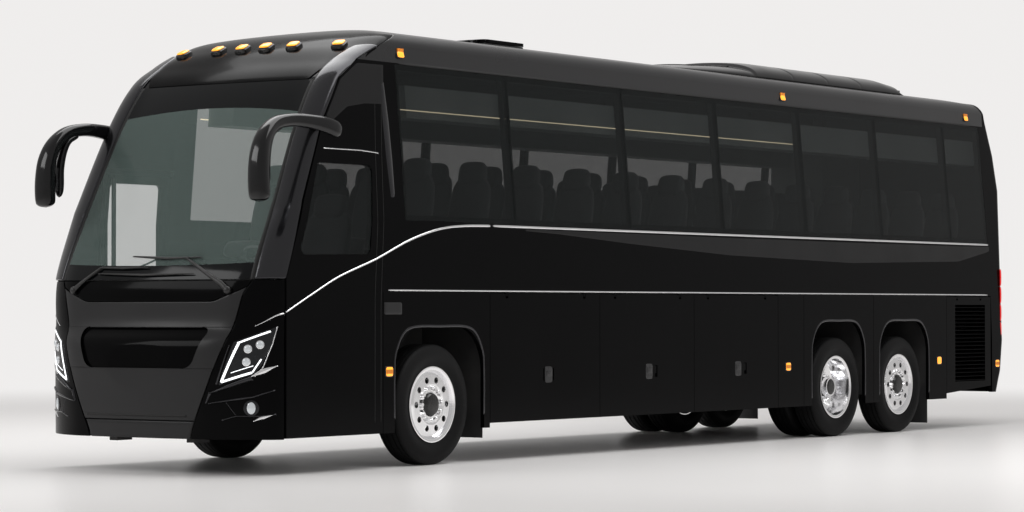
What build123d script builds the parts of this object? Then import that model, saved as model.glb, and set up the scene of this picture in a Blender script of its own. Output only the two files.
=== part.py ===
"""Three-axle touring coach, built from its real panels, frame, running gear, doors and seats.

Millimetres, +Z up. The front faces -Y and the driver's side is +X.
The origin is on the ground below the middle of the body.
"""
import os

from build123d import *

os.makedirs("parts", exist_ok=True)

# ---------------------------------------------------------------- driving dimensions
LENGTH = 13610.0
WIDTH = 2550.0
HEIGHT = 3850.0                  # roof crown
FRONT_OVERHANG = 2460.0          # nose to front axle
WHEELBASE = 7140.0               # front axle to drive axle
TAG_SPACING = 1405.0             # drive axle to tag axle
HALF = WIDTH / 2
SPAN = HALF + 100.0              # cutting boxes reach past the body
NOSE = -LENGTH / 2
TAIL = LENGTH / 2
FRONT_AXLE = NOSE + FRONT_OVERHANG
DRIVE_AXLE = FRONT_AXLE + WHEELBASE
TAG_AXLE = DRIVE_AXLE + TAG_SPACING

# side of the body, heights above the ground
SKIRT_Z = 341.0                  # lower edge of doors and skirts
SEAM_Z = 1500.0                  # top of the lower panels
BELT_Z = 2100.0                  # tumblehome starts here
DRIP_Z = 3470.0                  # top of the side walls
TUMBLEHOME = 120.0               # lean of the wall between belt and drip line
WALL = 60.0
PANEL = 40.0                     # lower panels and doors
PANEL_GAP = 6.0                  # shut line round a door
GLASS = 8.0
GLASS_GAP = 8.0                  # joint between two panes
ROOF_WALL = 45.0
COVE_Z = 3735.0                  # roof cove meets the crown
COVE_X = 1000.0

# front and rear seams, measured from the front axle
CAP_SEAM = -2040.0
DRIVER_SEAM = -760.0
WALL_START = -470.0              # cab sides ahead of it
BAY_LINES = [790.0, 2550.0, 4220.0, 5850.0]
ARCH_PANEL_START = 6380.0
RADIATOR_START = 9607.0
REAR_SEAM = 10750.0
WINDOW_LINES = [-450.0, 1180.0, 3080.0, 4790.0, 6460.0, 8110.0, 9730.0, 10640.0]
WINDOW_LOW = 2115.0
WINDOW_TOP = 3455.0
POST = 90.0                      # window post width behind the glass
FRONT_ARCH = (50.0, 650.0, 1205.0)      # centre from the front axle, half width, top

# floors
DECK_TOP = 1500.0
DECK_THICK = 55.0
CAB_FLOOR = 1130.0
BAY_FLOOR = 400.0
STEP_BOTTOM = 380.0

# wheels
TYRE_RADIUS = 525.0
TYRE_WIDTH = 283.0
RIM_RADIUS = 311.0               # bead seat
RIM_FLANGE = 331.0
RIM_WIDTH = 222.0
TYRE_OUTER_X = 1250.0            # outer wall of every outer tyre
DUAL_SPACING = 330.0
TYRE_X = TYRE_OUTER_X - TYRE_WIDTH / 2
HUB_BORE = 45.0
FIT = 0.05                       # radial running clearance
SEAT_GAP = 0.3                   # between curved faces that seat
SPINDLE_END = 1178.0
BOLT_CIRCLE = 142.9              # radius
LUG_COUNT = 10

# steering
KINGPIN_X = 900.0
KINGPIN_RADIUS = 24.0
TIE_ARM = 230.0                  # kingpin to tie rod, rearwards

# entrance door
DOOR_FRONT = -1560.0
DOOR_REAR = -700.0
DOOR_TOP = 2560.0
DOOR_ARM = 600.0
ARM_X = 1130.0                   # door shaft from the centre line
SHAFT_RADIUS = 20.0


def at(y_from_axle):
    """Row Y of a place measured rearwards from the front axle."""
    return FRONT_AXLE + y_from_axle


def station(y):
    """Sketch plane across the body: local x is X and local y is Z. Extrude by a negative amount to go rearwards."""
    return Plane(origin=(0, y, 0), x_dir=(1, 0, 0), z_dir=(0, -1, 0))


def flank(x):
    """Sketch plane along the body: local x is Y, local y is Z, normal +X."""
    return Plane(origin=(x, 0, 0), x_dir=(0, 1, 0), z_dir=(1, 0, 0))


def side_x(z, inset=0.0):
    """Half width of the body at height z."""
    lean = max(0.0, z - BELT_Z) / (DRIP_Z - BELT_Z) * TUMBLEHOME
    return HALF - lean - inset


def box(low, high, mode=Mode.ADD):
    """Box between two corners, in the part being built."""
    centre = [(a + b) / 2 for a, b in zip(low, high)]
    with Locations(tuple(centre)):
        Box(*[abs(b - a) for a, b in zip(low, high)], mode=mode)


def rod(centre, radius, length, along, mode=Mode.ADD):
    """Cylinder centred on a point, along "X", "Y" or "Z"."""
    turn = {"X": (0, 90, 0), "Y": (90, 0, 0), "Z": (0, 0, 0)}[along]
    with Locations(centre):
        Cylinder(radius, length, rotation=turn, mode=mode)


def write(piece, name):
    """Label a finished piece and write its STEP file."""
    piece.part.label = name
    export_step(piece.part, f"parts/{name}.step")


# ---------------------------------------------------------------- nose and tail envelopes
# z, centre y, knuckle x, knuckle y, corner y, seam y (y from the front axle)
NOSE_LEVELS = [
    (300.0, -2425.0, 720.0, -2385.0, -2080.0, CAP_SEAM),
    (620.0, -2452.0, 720.0, -2405.0, -2080.0, CAP_SEAM),
    (1040.0, -2460.0, 740.0, -2405.0, -2080.0, CAP_SEAM),
    (1230.0, -2345.0, 830.0, -2300.0, -2080.0, CAP_SEAM),
    (1600.0, -2290.0, 890.0, -2245.0, -2065.0, CAP_SEAM),
    (BELT_Z, -2033.0, 920.0, -1985.0, -1883.0, -1856.0),
    (2250.0, -1955.0, 925.0, -1905.0, -1825.0, -1800.0),
    (2900.0, -1605.0, 900.0, -1570.0, -1515.0, -1490.0),
    (3290.0, -1340.0, 880.0, -1305.0, -1250.0, -1225.0),
    (3470.0, -1130.0, 880.0, -1080.0, -985.0, -960.0),
    (3610.0, -930.0, 880.0, -840.0, -680.0, -650.0),
    (3740.0, -600.0, 860.0, -500.0, -330.0, -300.0),
    (HEIGHT + 2.0, 60.0, 700.0, 110.0, 240.0, 290.0),
]
# z, centre y, corner y (y from the front axle)
TAIL_LEVELS = [
    (390.0, 10960.0, 10830.0),
    (640.0, 11090.0, 10910.0),
    (990.0, 11145.0, 10960.0),
    (2730.0, 11150.0, 10960.0),
    (3140.0, 11090.0, 10900.0),
    (3470.0, 10960.0, 10820.0),
    (3620.0, 10860.0, 10780.0),
    (3750.0, 10700.0, 10660.0),
    (HEIGHT + 2.0, 10440.0, 10400.0),
]
TAIL_SEAMS = {3750.0: 10600.0, HEIGHT + 2.0: 10350.0}
TAIL_CORNER = 150.0
CORNER_BULGE = 0.10              # sagitta of a corner arc over its chord
NOSE_WALL = 45.0
GRILLE_RECESS = 30.0


def nose_outline(level, inset, z):
    """Plan of the nose at one height: centre arc, two corner arcs, sides and the seam line."""
    level_z, centre_y, knuckle_x, knuckle_y, corner_y, seam_y = level
    half = side_x(min(level_z, DRIP_Z)) - inset
    kx = knuckle_x - inset * 0.6
    ky = at(knuckle_y) + inset
    cy = at(corner_y) + inset * 0.4
    bulge = CORNER_BULGE * ((half - kx) ** 2 + (cy - ky) ** 2) ** 0.5 * 0.7
    seam = at(seam_y) + (1.0 if inset else 0.0)
    mid_x, mid_y = (kx + half) / 2 + bulge, (ky + cy) / 2 - bulge
    with BuildSketch(Plane.XY.offset(z)) as plan:
        with BuildLine():
            ThreePointArc((-kx, ky), (0, at(centre_y) + inset), (kx, ky))
            ThreePointArc((kx, ky), (mid_x, mid_y), (half, cy))
            Polyline((half, cy), (half, seam), (-half, seam), (-half, cy))
            ThreePointArc((-half, cy), (-mid_x, mid_y), (-kx, ky))
        make_face()
    return plan.sketch


def tail_outline(level, inset, z):
    """Plan of the tail at one height."""
    level_z, centre_y, corner_y = level
    half = side_x(min(level_z, DRIP_Z)) - inset
    back = at(centre_y) - inset
    cy = at(corner_y) - inset * 0.5
    seam = at(TAIL_SEAMS.get(level_z, REAR_SEAM)) - (1.0 if inset else 0.0)
    kx = half - TAIL_CORNER
    ky = back - 18.0
    mid_x, mid_y = half - 0.23 * TAIL_CORNER, cy + (ky - cy) * 0.66
    with BuildSketch(Plane.XY.offset(z)) as plan:
        with BuildLine():
            ThreePointArc((-kx, ky), (0, back), (kx, ky))
            ThreePointArc((kx, ky), (mid_x, mid_y), (half, cy))
            Polyline((half, cy), (half, seam), (-half, seam), (-half, cy))
            ThreePointArc((-half, cy), (-mid_x, mid_y), (-kx, ky))
        make_face()
    return plan.sketch


def roof_section(inset, low, y):
    """Cross section of the body inside the outer skin, from height low up to the crown."""
    foot = side_x(low, inset)
    drip = side_x(DRIP_Z, inset)
    shoulder = (drip - 8.0, COVE_Z - 115.0)
    cove = (COVE_X, COVE_Z - inset * 0.7)
    bend = (drip - 45.0, COVE_Z - 38.0 - inset * 0.4)
    knees = [(HALF - inset, BELT_Z)] if low < BELT_Z else []
    right = [(foot, low)] + knees + ([(drip, DRIP_Z)] if low < DRIP_Z else []) + [shoulder]
    left = [(-x, z) for x, z in right]
    with BuildSketch(station(y)) as section:
        with BuildLine():
            Polyline(*right)
            ThreePointArc(shoulder, bend, cove)
            ThreePointArc(cove, (0, HEIGHT - inset), (-cove[0], cove[1]))
            ThreePointArc((-cove[0], cove[1]), (-bend[0], bend[1]), (-shoulder[0], shoulder[1]))
            Polyline(*left)
            Line((-foot, low), (foot, low))
        make_face()
    return section.sketch


def envelope(levels, outline, inset, drop):
    """Solid body end: lofted plans trimmed by the body's cross section."""
    plans = [outline(level, inset, level[0] - (drop if level is levels[0] else 0.0)) for level in levels]
    section = roof_section(inset, levels[0][0] - drop - 1.0, NOSE - 500.0)
    with BuildPart() as solid:
        loft(plans, ruled=True)
        extrude(section, amount=-(LENGTH + 1000.0), mode=Mode.INTERSECT)
    return solid.part


nose_outer = envelope(NOSE_LEVELS, nose_outline, 0.0, 0.0)
nose_inner = envelope(NOSE_LEVELS, nose_outline, NOSE_WALL, 10.0)
tail_outer = envelope(TAIL_LEVELS, tail_outline, 0.0, 0.0)
tail_inner = envelope(TAIL_LEVELS, tail_outline, NOSE_WALL, 10.0)
nose_glass = envelope(NOSE_LEVELS, nose_outline, GLASS, 10.0)
nose_recess = envelope(NOSE_LEVELS, nose_outline, GRILLE_RECESS, 10.0)
tail_outer = envelope(TAIL_LEVELS, tail_outline, 0.0, 0.0)
tail_inner = envelope(TAIL_LEVELS, tail_outline, NOSE_WALL, 10.0)

# ---------------------------------------------------------------- front panels
# front view outlines, x and z, right half from the bottom up
SCREEN_EDGE = [(1060.0, 1600.0), (1045.0, BELT_Z), (1040.0, 2250.0), (995.0, 2900.0), (965.0, 3290.0)]
PANEL_EDGE = [(593.0, 290.0), (600.0, 361.0), (997.0, 1488.0), (1060.0, 1600.0)]
GRILLE_EDGE = [(585.0, 870.0), (726.0, 1204.0)]
GRILLE_CORNER = 70.0
HEADLAMP = [(805.0, 748.0), (900.0, 1085.0), (1185.0, 1180.0), (1165.0, 985.0), (1010.0, 812.0)]
FOG_LAMP = (1026.0, 563.0, 48.0)         # x, z, radius


def mirrored(points):
    """Closed outline from its right half, given from the bottom up."""
    return [(x, z) for x, z in points] + [(-x, z) for x, z in reversed(points)]


def front_prism(points, corner=0.0, depth=1400.0):
    """Prism along Y through the nose over a front view outline."""
    with BuildPart() as prism:
        with BuildSketch(station(NOSE - 100.0)):
            with BuildLine():
                Polyline(*points, close=True)
            make_face()
            if corner:
                fillet(vertices(), radius=corner)
        extrude(amount=-depth)
    return prism.part


screen_prism = front_prism(mirrored(SCREEN_EDGE))
panel_prism = front_prism(mirrored(PANEL_EDGE))
grille_prism = front_prism(mirrored(GRILLE_EDGE), GRILLE_CORNER)
lamp_prisms = [front_prism([(side * x, z) for x, z in HEADLAMP], 18.0) for side in (1, -1)]

with BuildPart() as windscreen:
    add(nose_outer)
    add(nose_glass, mode=Mode.SUBTRACT)
    add(screen_prism, mode=Mode.INTERSECT)
write(windscreen, "windscreen")

with BuildPart() as front_cap:
    add(nose_outer)
    add(nose_inner, mode=Mode.SUBTRACT)
    box((-SPAN, NOSE - 10.0, 200.0), (SPAN, 0.0, SCREEN_EDGE[0][1]), Mode.SUBTRACT)
    add(screen_prism, mode=Mode.SUBTRACT)
write(front_cap, "front_cap")

with BuildPart() as front_panel:
    add(nose_outer)
    add(nose_inner, mode=Mode.SUBTRACT)
    add(panel_prism, mode=Mode.INTERSECT)
    add(grille_prism, mode=Mode.SUBTRACT)
write(front_panel, "front_panel")

with BuildPart() as front_grille:
    add(nose_recess)
    add(nose_inner, mode=Mode.SUBTRACT)
    add(grille_prism, mode=Mode.INTERSECT)
write(front_grille, "front_grille")

with BuildPart() as corner_panels:
    add(nose_outer)
    add(nose_inner, mode=Mode.SUBTRACT)
    box((-SPAN, NOSE - 10.0, PANEL_EDGE[-1][1]), (SPAN, 0.0, HEIGHT + 10.0), Mode.SUBTRACT)
    add(panel_prism, mode=Mode.SUBTRACT)
    for prism in lamp_prisms:
        add(prism, mode=Mode.SUBTRACT)
    for side in (1, -1):
        rod((side * FOG_LAMP[0], at(-2200), FOG_LAMP[1]), FOG_LAMP[2], 500.0, "Y", Mode.SUBTRACT)
write(corner_panels, "corner_panels")

with BuildPart() as headlamps:
    for side in (0, 1):
        add(lamp_prisms[side])
    for side in (1, -1):
        rod((side * FOG_LAMP[0], at(-2200), FOG_LAMP[1]), FOG_LAMP[2], 500.0, "Y")
    add(nose_outer, mode=Mode.INTERSECT)
    add(nose_inner, mode=Mode.SUBTRACT)
write(headlamps, "headlamps")

# ---------------------------------------------------------------- rear panels
ENGINE_DOOR = (900.0, 660.0, 1700.0)     # half width, bottom, top
TAIL_LAMP = (1120.0, 1232.0, 1000.0, 1820.0)   # inner x, outer x, bottom, top
TAIL_SPLIT = 640.0                       # bumper below, cap above
SWING = 24.0                             # gap above a top-hinged curved door

HINGE_PIN = 6.0
LUG = (24.0, 24.0)                       # thickness and width of a hinge lug
PIN_REACH = 45.0                         # pin end from the lug's middle
NOTCH = 20.0                             # half width of the notch round a lug
ENGINE_HINGE = (at(11112), ENGINE_DOOR[2] - 15.0)
ENGINE_LUGS = [-600.0, 600.0]

with BuildPart() as rear_cap:
    add(tail_outer)
    add(tail_inner, mode=Mode.SUBTRACT)
    box((-SPAN, at(10000), 300.0), (SPAN, TAIL + 10.0, TAIL_SPLIT), Mode.SUBTRACT)
    box((-ENGINE_DOOR[0] - PANEL_GAP, at(10990), ENGINE_DOOR[1] - PANEL_GAP),
        (ENGINE_DOOR[0] + PANEL_GAP, TAIL + 10.0, ENGINE_DOOR[2] + SWING), Mode.SUBTRACT)
    for side in (1, -1):
        box((side * TAIL_LAMP[0], at(10900), TAIL_LAMP[2]), (side * TAIL_LAMP[1], at(11300), TAIL_LAMP[3]), Mode.SUBTRACT)
    for x in ENGINE_LUGS:
        box((x - 12.0, ENGINE_HINGE[0] - 12.0, ENGINE_HINGE[1] - 8.0), (x + 12.0, ENGINE_HINGE[0] + 12.0, ENGINE_DOOR[2] + SWING))
        rod((x, *ENGINE_HINGE), HINGE_PIN, 2 * PIN_REACH, "X")
write(rear_cap, "rear_cap")

with BuildPart() as engine_door:
    add(tail_outer)
    add(tail_inner, mode=Mode.SUBTRACT)
    box((-ENGINE_DOOR[0], at(10990), ENGINE_DOOR[1]), (ENGINE_DOOR[0], TAIL + 10.0, ENGINE_DOOR[2]), Mode.INTERSECT)
    for x in ENGINE_LUGS:
        box((x - NOTCH, at(10990), ENGINE_HINGE[1] - 25.0), (x + NOTCH, TAIL + 10.0, ENGINE_DOOR[2] + 10.0), Mode.SUBTRACT)
        rod((x, *ENGINE_HINGE), HINGE_PIN + FIT, 2 * PIN_REACH + 10.0, "X", Mode.SUBTRACT)
write(engine_door, "engine_door")

with BuildPart() as rear_bumper:
    add(tail_outer)
    add(tail_inner, mode=Mode.SUBTRACT)
    box((-SPAN, at(10000), 300.0), (SPAN, TAIL + 10.0, TAIL_SPLIT), Mode.INTERSECT)
write(rear_bumper, "rear_bumper")

# ---------------------------------------------------------------- side walls and their glass
DRIVER_WINDOW = [(-1880.0, 1800.0), (-935.0, 1815.0), (-860.0, 2570.0), (-1585.0, 2570.0)]
CHEEK = [(level[5], level[0]) for level in NOSE_LEVELS if CAP_SEAM <= level[5] <= -960.0 and level[0] >= 1600.0]
LUG_Z = SEAM_Z - 25.0                    # hinge line of the lower doors
LUG_X = HALF - 13.0
LOWER_DOORS = list(zip(BAY_LINES[:-1], BAY_LINES[1:])) + [(RADIATOR_START, REAR_SEAM - 35.0)]
LUG_INSET = 260.0                        # lug from the door's end
HATCHES = [2350.0, 9985.0]
HATCH_HALF = 290.0


def outline_prism(points, x_from, x_to, corner=0.0):
    """Prism along X over a side view outline of places (y from the front axle, z)."""
    with BuildPart() as prism:
        with BuildSketch(flank(x_from)):
            with BuildLine():
                Polyline(*[(at(y), z) for y, z in points], close=True)
            make_face()
            if corner:
                fillet(vertices(), radius=corner)
        extrude(amount=x_to - x_from)
    return prism.part


def wall_slab(side, low, high, outer, inner, y_from, y_to):
    """Length of wall between two insets from the body's flank, following the tumblehome."""
    heights = [low] + ([BELT_Z] if low < BELT_Z < high else []) + [high]
    skin = [(side * side_x(z, outer), z) for z in heights]
    lining = [(side * side_x(z, inner), z) for z in reversed(heights)]
    with BuildPart() as slab:
        with BuildSketch(station(at(y_from))):
            with BuildLine():
                Polyline(*skin, *lining, close=True)
            make_face()
        extrude(amount=-(y_to - y_from))
    return slab.part


nose_cheek = outline_prism([(-2700.0, 1400.0), (CAP_SEAM, 1400.0)] + CHEEK + [(-960.0, 3600.0), (-2700.0, 3600.0)],
                           -SPAN, SPAN)
driver_prism = outline_prism(DRIVER_WINDOW, 800.0, SPAN, 60.0)
DOORWAY = (DOOR_FRONT - PANEL_GAP, DOOR_REAR + PANEL_GAP, DOOR_TOP + 10.0)


def lower_lugs(side, lines):
    """Hinge lugs and pins for the top-hinged lower doors, under the wall's lower edge."""
    for start, end in lines:
        for y in (at(start) + LUG_INSET, at(end) - LUG_INSET):
            box((side * (LUG_X - 12.0), y - 12.0, LUG_Z - 8.0), (side * (LUG_X + 12.0), y + 12.0, SEAM_Z))
            rod((side * LUG_X, y, LUG_Z), HINGE_PIN, 2 * PIN_REACH, "Y")


for side, name in ((1, "left"), (-1, "right")):
    with BuildPart() as cab_side:
        add(wall_slab(side, SEAM_Z, DRIP_Z, 0.0, WALL, CAP_SEAM, WALL_START))
        add(nose_cheek, mode=Mode.SUBTRACT)
        if side > 0:
            add(driver_prism, mode=Mode.SUBTRACT)
        else:
            box((-SPAN, at(DOORWAY[0]), 1400.0), (-900.0, at(DOORWAY[1]), DOORWAY[2]), Mode.SUBTRACT)
    write(cab_side, f"{name}_cab_side")

glass_panes = []
for side, name in ((1, "left"), (-1, "right")):
    rebate = wall_slab(side, WINDOW_LOW, WINDOW_TOP, 0.0, GLASS, WINDOW_LINES[0], WINDOW_LINES[-1])
    with BuildPart() as wall:
        add(wall_slab(side, SEAM_Z, DRIP_Z, 0.0, WALL, WALL_START, REAR_SEAM))
        add(rebate, mode=Mode.SUBTRACT)
        for start, end in zip(WINDOW_LINES[:-1], WINDOW_LINES[1:]):
            box((side * 900.0, at(start) + POST / 2, WINDOW_LOW + 45.0),
                (side * SPAN, at(end) - POST / 2, WINDOW_TOP - 45.0), Mode.SUBTRACT)
        lower_lugs(side, LOWER_DOORS if side > 0 else LOWER_DOORS[:-1])
    write(wall, f"{name}_side_wall")
    for start, end in zip(WINDOW_LINES[:-1], WINDOW_LINES[1:]):
        glass_panes.append(wall_slab(side, WINDOW_LOW, WINDOW_TOP, 0.0, GLASS, start + GLASS_GAP / 2, end - GLASS_GAP / 2))
glass_panes.append(wall_slab(1, 1750.0, 2620.0, 6.0, 6.0 + GLASS, -2000.0, -800.0) & driver_prism)

with BuildPart() as side_glass:
    for pane in glass_panes:
        add(pane)
write(side_glass, "side_glass")

# ---------------------------------------------------------------- roof
roof_ahead = outline_prism([(-2700.0, 3400.0), (-960.0, 3400.0)]
                           + [(level[5], level[0]) for level in NOSE_LEVELS if level[5] >= -960.0]
                           + [(290.0, HEIGHT + 100.0), (-2700.0, HEIGHT + 100.0)], -SPAN, SPAN)
roof_behind = outline_prism([(REAR_SEAM, 3400.0), (REAR_SEAM, 3620.0), (TAIL_SEAMS[3750.0], 3750.0),
                             (TAIL_SEAMS[HEIGHT + 2.0], HEIGHT + 2.0), (TAIL_SEAMS[HEIGHT + 2.0], HEIGHT + 100.0),
                             (12000.0, HEIGHT + 100.0), (12000.0, 3400.0)], -SPAN, SPAN)
roof_outer = extrude(roof_section(0.0, DRIP_Z, at(-960.0)), amount=-(REAR_SEAM + 960.0))
roof_inner = extrude(roof_section(ROOF_WALL, DRIP_Z, at(-961.0)), amount=-(REAR_SEAM + 962.0))
CURB = 15.0                              # hatch curb above the crown
LID_GAP = 5.0
LID = 30.0
LID_HALF = HATCH_HALF + 45.0
LID_HINGE_Z = HEIGHT + CURB + LID_GAP + LID / 2

with BuildPart() as roof_shell:
    add(roof_outer)
    for y in HATCHES:
        box((-HATCH_HALF - 25.0, at(y) - HATCH_HALF - 25.0, HEIGHT - 30.0),
            (HATCH_HALF + 25.0, at(y) + HATCH_HALF + 25.0, HEIGHT + CURB))
        for x in (-200.0, 200.0):
            box((x - 12.0, at(y) - LID_HALF - 30.0, HEIGHT - 20.0), (x + 12.0, at(y) - LID_HALF - 6.0, LID_HINGE_Z + 12.0))
            rod((x, at(y) - LID_HALF - 18.0, LID_HINGE_Z), HINGE_PIN, 2 * PIN_REACH, "X")
    add(roof_inner, mode=Mode.SUBTRACT)
    for y in HATCHES:
        box((-HATCH_HALF, at(y) - HATCH_HALF, HEIGHT - 200.0), (HATCH_HALF, at(y) + HATCH_HALF, HEIGHT + 50.0), Mode.SUBTRACT)
    add(roof_ahead, mode=Mode.SUBTRACT)
    add(roof_behind, mode=Mode.SUBTRACT)
write(roof_shell, "roof_shell")

for name, y in zip(("front", "rear"), HATCHES):
    with BuildPart() as lid:
        box((-LID_HALF, at(y) - LID_HALF, LID_HINGE_Z - LID / 2), (LID_HALF, at(y) + LID_HALF, LID_HINGE_Z + LID / 2))
        fillet(lid.edges().filter_by(Axis.Z), radius=60.0)
        for x in (-200.0, 200.0):
            box((x - 70.0, at(y) - LID_HALF - 30.0, LID_HINGE_Z - 12.0), (x + 70.0, at(y) - LID_HALF + 20.0, LID_HINGE_Z + 12.0))
            box((x - NOTCH, at(y) - LID_HALF - 60.0, LID_HINGE_Z - 50.0),
                (x + NOTCH, at(y) - LID_HALF + 8.0, LID_HINGE_Z + 50.0), Mode.SUBTRACT)
            rod((x, at(y) - LID_HALF - 18.0, LID_HINGE_Z), HINGE_PIN + FIT, 2 * PIN_REACH + 10.0, "X", Mode.SUBTRACT)
    write(lid, f"{name}_hatch")

AC = (4850.0, 6320.0, 9600.0, 750.0, 3955.0)     # ramp start, pod start, end, half width, top
with BuildPart() as air_conditioner:
    with BuildSketch(flank(-AC[3])):
        with BuildLine():
            Polyline((at(AC[0]), HEIGHT - 150.0), (at(AC[0]), HEIGHT - 5.0), (at(AC[1]), AC[4]), (at(AC[1]) + 400.0, AC[4] + 40.0),
                     (at(AC[2]) - 200.0, AC[4] + 10.0), (at(AC[2]), HEIGHT + 40.0), (at(AC[2]), HEIGHT - 150.0), close=True)
        make_face()
    extrude(amount=2 * AC[3])
    fillet(air_conditioner.edges().filter_by(Axis.Y, reverse=True).group_by(Axis.Z)[-1].filter_by(Axis.X), radius=30.0)
    add(roof_outer, mode=Mode.SUBTRACT)
write(air_conditioner, "air_conditioner")

# ---------------------------------------------------------------- lower panels and doors
ARCHES = {"front": (50.0, 650.0, 1205.0), "drive": (7125.0, 578.0, 1230.0), "tag": (8600.0, 578.0, 1230.0)}
LEFT_PANELS = [(CAP_SEAM, DRIVER_SEAM - 3.0, None), (DRIVER_SEAM + 3.0, BAY_LINES[0] - 3.0, "front"),
               (BAY_LINES[-1] + 3.0, ARCH_PANEL_START - 3.0, None), (ARCH_PANEL_START + 3.0, 7887.0, "drive"),
               (7893.0, RADIATOR_START - 3.0, "tag")]
RIGHT_PANELS = [(CAP_SEAM, DOORWAY[0], None), (DOORWAY[1], BAY_LINES[0] - 3.0, "front")] + LEFT_PANELS[2:] \
    + [(RADIATOR_START + 3.0, REAR_SEAM, None)]
SKIRT_END = 450.0                        # skirt height behind the tag axle


def arch_prism(side, centre, half_width, top):
    """Wheel arch cut-out: straight sides, large shoulders and a flattened top."""
    shoulder = 250.0
    spring_z = top - 0.45 * half_width - 120.0
    crown = half_width * 0.42
    with BuildPart() as prism:
        with BuildSketch(flank(side * (HALF - PANEL - 30.0))):
            with BuildLine():
                c = at(centre)
                bend_y = crown + (half_width - crown) * 0.72
                bend_z = spring_z + (top - spring_z) * 0.69
                Polyline((c - half_width, spring_z), (c - half_width, 100.0), (c + half_width, 100.0), (c + half_width, spring_z))
                ThreePointArc((c + half_width, spring_z), (c + bend_y, bend_z), (c + crown, top))
                Line((c + crown, top), (c - crown, top))
                ThreePointArc((c - crown, top), (c - bend_y, bend_z), (c - half_width, spring_z))
            make_face()
        extrude(amount=side * (PANEL + 60.0))
    return prism.part


def door_leaf(side, start, end, low_front, low_rear):
    """Top-hinged lower door with its lug notches and pin bores, in the part being built."""
    y0, y1 = start + PANEL_GAP / 2, end - PANEL_GAP / 2
    add(outline_prism([(y0, low_front), (y1, low_rear), (y1, SEAM_Z - 10.0), (y0, SEAM_Z - 10.0)],
                      side * (HALF - PANEL), side * HALF))
    for y in (at(start) + LUG_INSET, at(end) - LUG_INSET):
        box((side * (HALF - 90.0), y - NOTCH, LUG_Z - 25.0), (side * SPAN, y + NOTCH, SEAM_Z), Mode.SUBTRACT)
        rod((side * LUG_X, y, LUG_Z), HINGE_PIN + FIT, 2 * PIN_REACH + 10.0, "Y", Mode.SUBTRACT)


with BuildPart() as side_panels:
    for side, panels in ((1, LEFT_PANELS), (-1, RIGHT_PANELS)):
        for start, end, arch in panels:
            low = SKIRT_END if start > RADIATOR_START else SKIRT_Z
            low = 300.0 if start < BAY_LINES[0] else low
            add(outline_prism([(start, low), (end, low), (end, SEAM_Z), (start, SEAM_Z)],
                              side * (HALF - PANEL), side * HALF))
            if arch:
                add(arch_prism(side, *ARCHES[arch]), mode=Mode.SUBTRACT)
write(side_panels, "side_panels")

for side, name in ((1, "left"), (-1, "right")):
    for number, (start, end) in enumerate(zip(BAY_LINES[:-1], BAY_LINES[1:]), 1):
        with BuildPart() as leaf:
            door_leaf(side, start, end, SKIRT_Z, SKIRT_Z)
            box((side * (HALF - 14.0), at(start) + 915.0 - 85.0, 700.0), (side * SPAN, at(start) + 915.0 + 85.0, 812.0), Mode.SUBTRACT)
            box((side * (HALF - 14.0), at(start) + 915.0 - 70.0, 735.0), (side * (HALF - 3.0), at(start) + 915.0 + 70.0, 806.0))
        write(leaf, f"bay_door_{name}_{number}")

SLATS = 20
LOUVRE = (9817.0, 10569.0, 528.0, 1399.0)        # start, end, bottom, top
with BuildPart() as radiator_door:
    door_leaf(1, *LOWER_DOORS[-1], 400.0, 465.0)
    add(outline_prism([(LOUVRE[0], LOUVRE[2]), (LOUVRE[1], LOUVRE[2]), (LOUVRE[1], LOUVRE[3]), (LOUVRE[0], LOUVRE[3])],
                      HALF - PANEL - 10.0, SPAN), mode=Mode.SUBTRACT)
    pitch = (LOUVRE[3] - LOUVRE[2]) / SLATS
    for number in range(SLATS):
        z = LOUVRE[2] + (number + 0.5) * pitch
        with BuildSketch(station(at(LOUVRE[0]) - 5.0)):
            with BuildLine():
                Polyline((HALF - 2.0, z - 12.0), (HALF - 2.0, z - 8.0), (HALF - 34.0, z + 14.0), (HALF - 34.0, z + 10.0), close=True)
            make_face()
        extrude(amount=-(LOUVRE[1] - LOUVRE[0] + 10.0))
write(radiator_door, "radiator_door")

# ---------------------------------------------------------------- entrance door and its arms
SHAFT_Y = -1500.0
ARM_HEIGHTS = [620.0, 1290.0]
ARM_SECTION = (60.0, 30.0)               # width and depth
DOOR_PIN = 10.0
DOOR_GLASS = (1350.0, 2460.0, 95.0)      # bottom, top, frame width
BEARING_TOP = 2455.0

door_sheet = wall_slab(-1, SKIRT_Z, DOOR_TOP, 0.0, PANEL, DOOR_FRONT, DOOR_REAR)
door_light = outline_prism([(DOOR_FRONT + DOOR_GLASS[2], DOOR_GLASS[0]), (DOOR_REAR - DOOR_GLASS[2], DOOR_GLASS[0]),
                            (DOOR_REAR - DOOR_GLASS[2], DOOR_GLASS[1]), (DOOR_FRONT + DOOR_GLASS[2], DOOR_GLASS[1])],
                           -SPAN, -900.0, 50.0)
PIN_Y = SHAFT_Y + DOOR_ARM
with BuildPart() as entrance_door:
    add(door_sheet)
    add(door_light, mode=Mode.SUBTRACT)
    for z in ARM_HEIGHTS:
        box((-HALF + PANEL, at(PIN_Y) - 30.0, z + 20.0), (-ARM_X + 30.0, at(PIN_Y) + 30.0, z + 45.0))
        rod((-ARM_X, at(PIN_Y), z + 15.0), DOOR_PIN, 60.0, "Z")
write(entrance_door, "entrance_door")

with BuildPart() as entrance_glass:
    add(wall_slab(-1, SKIRT_Z, DOOR_TOP, 0.0, GLASS, DOOR_FRONT, DOOR_REAR) & door_light)
write(entrance_glass, "entrance_glass")

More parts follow.
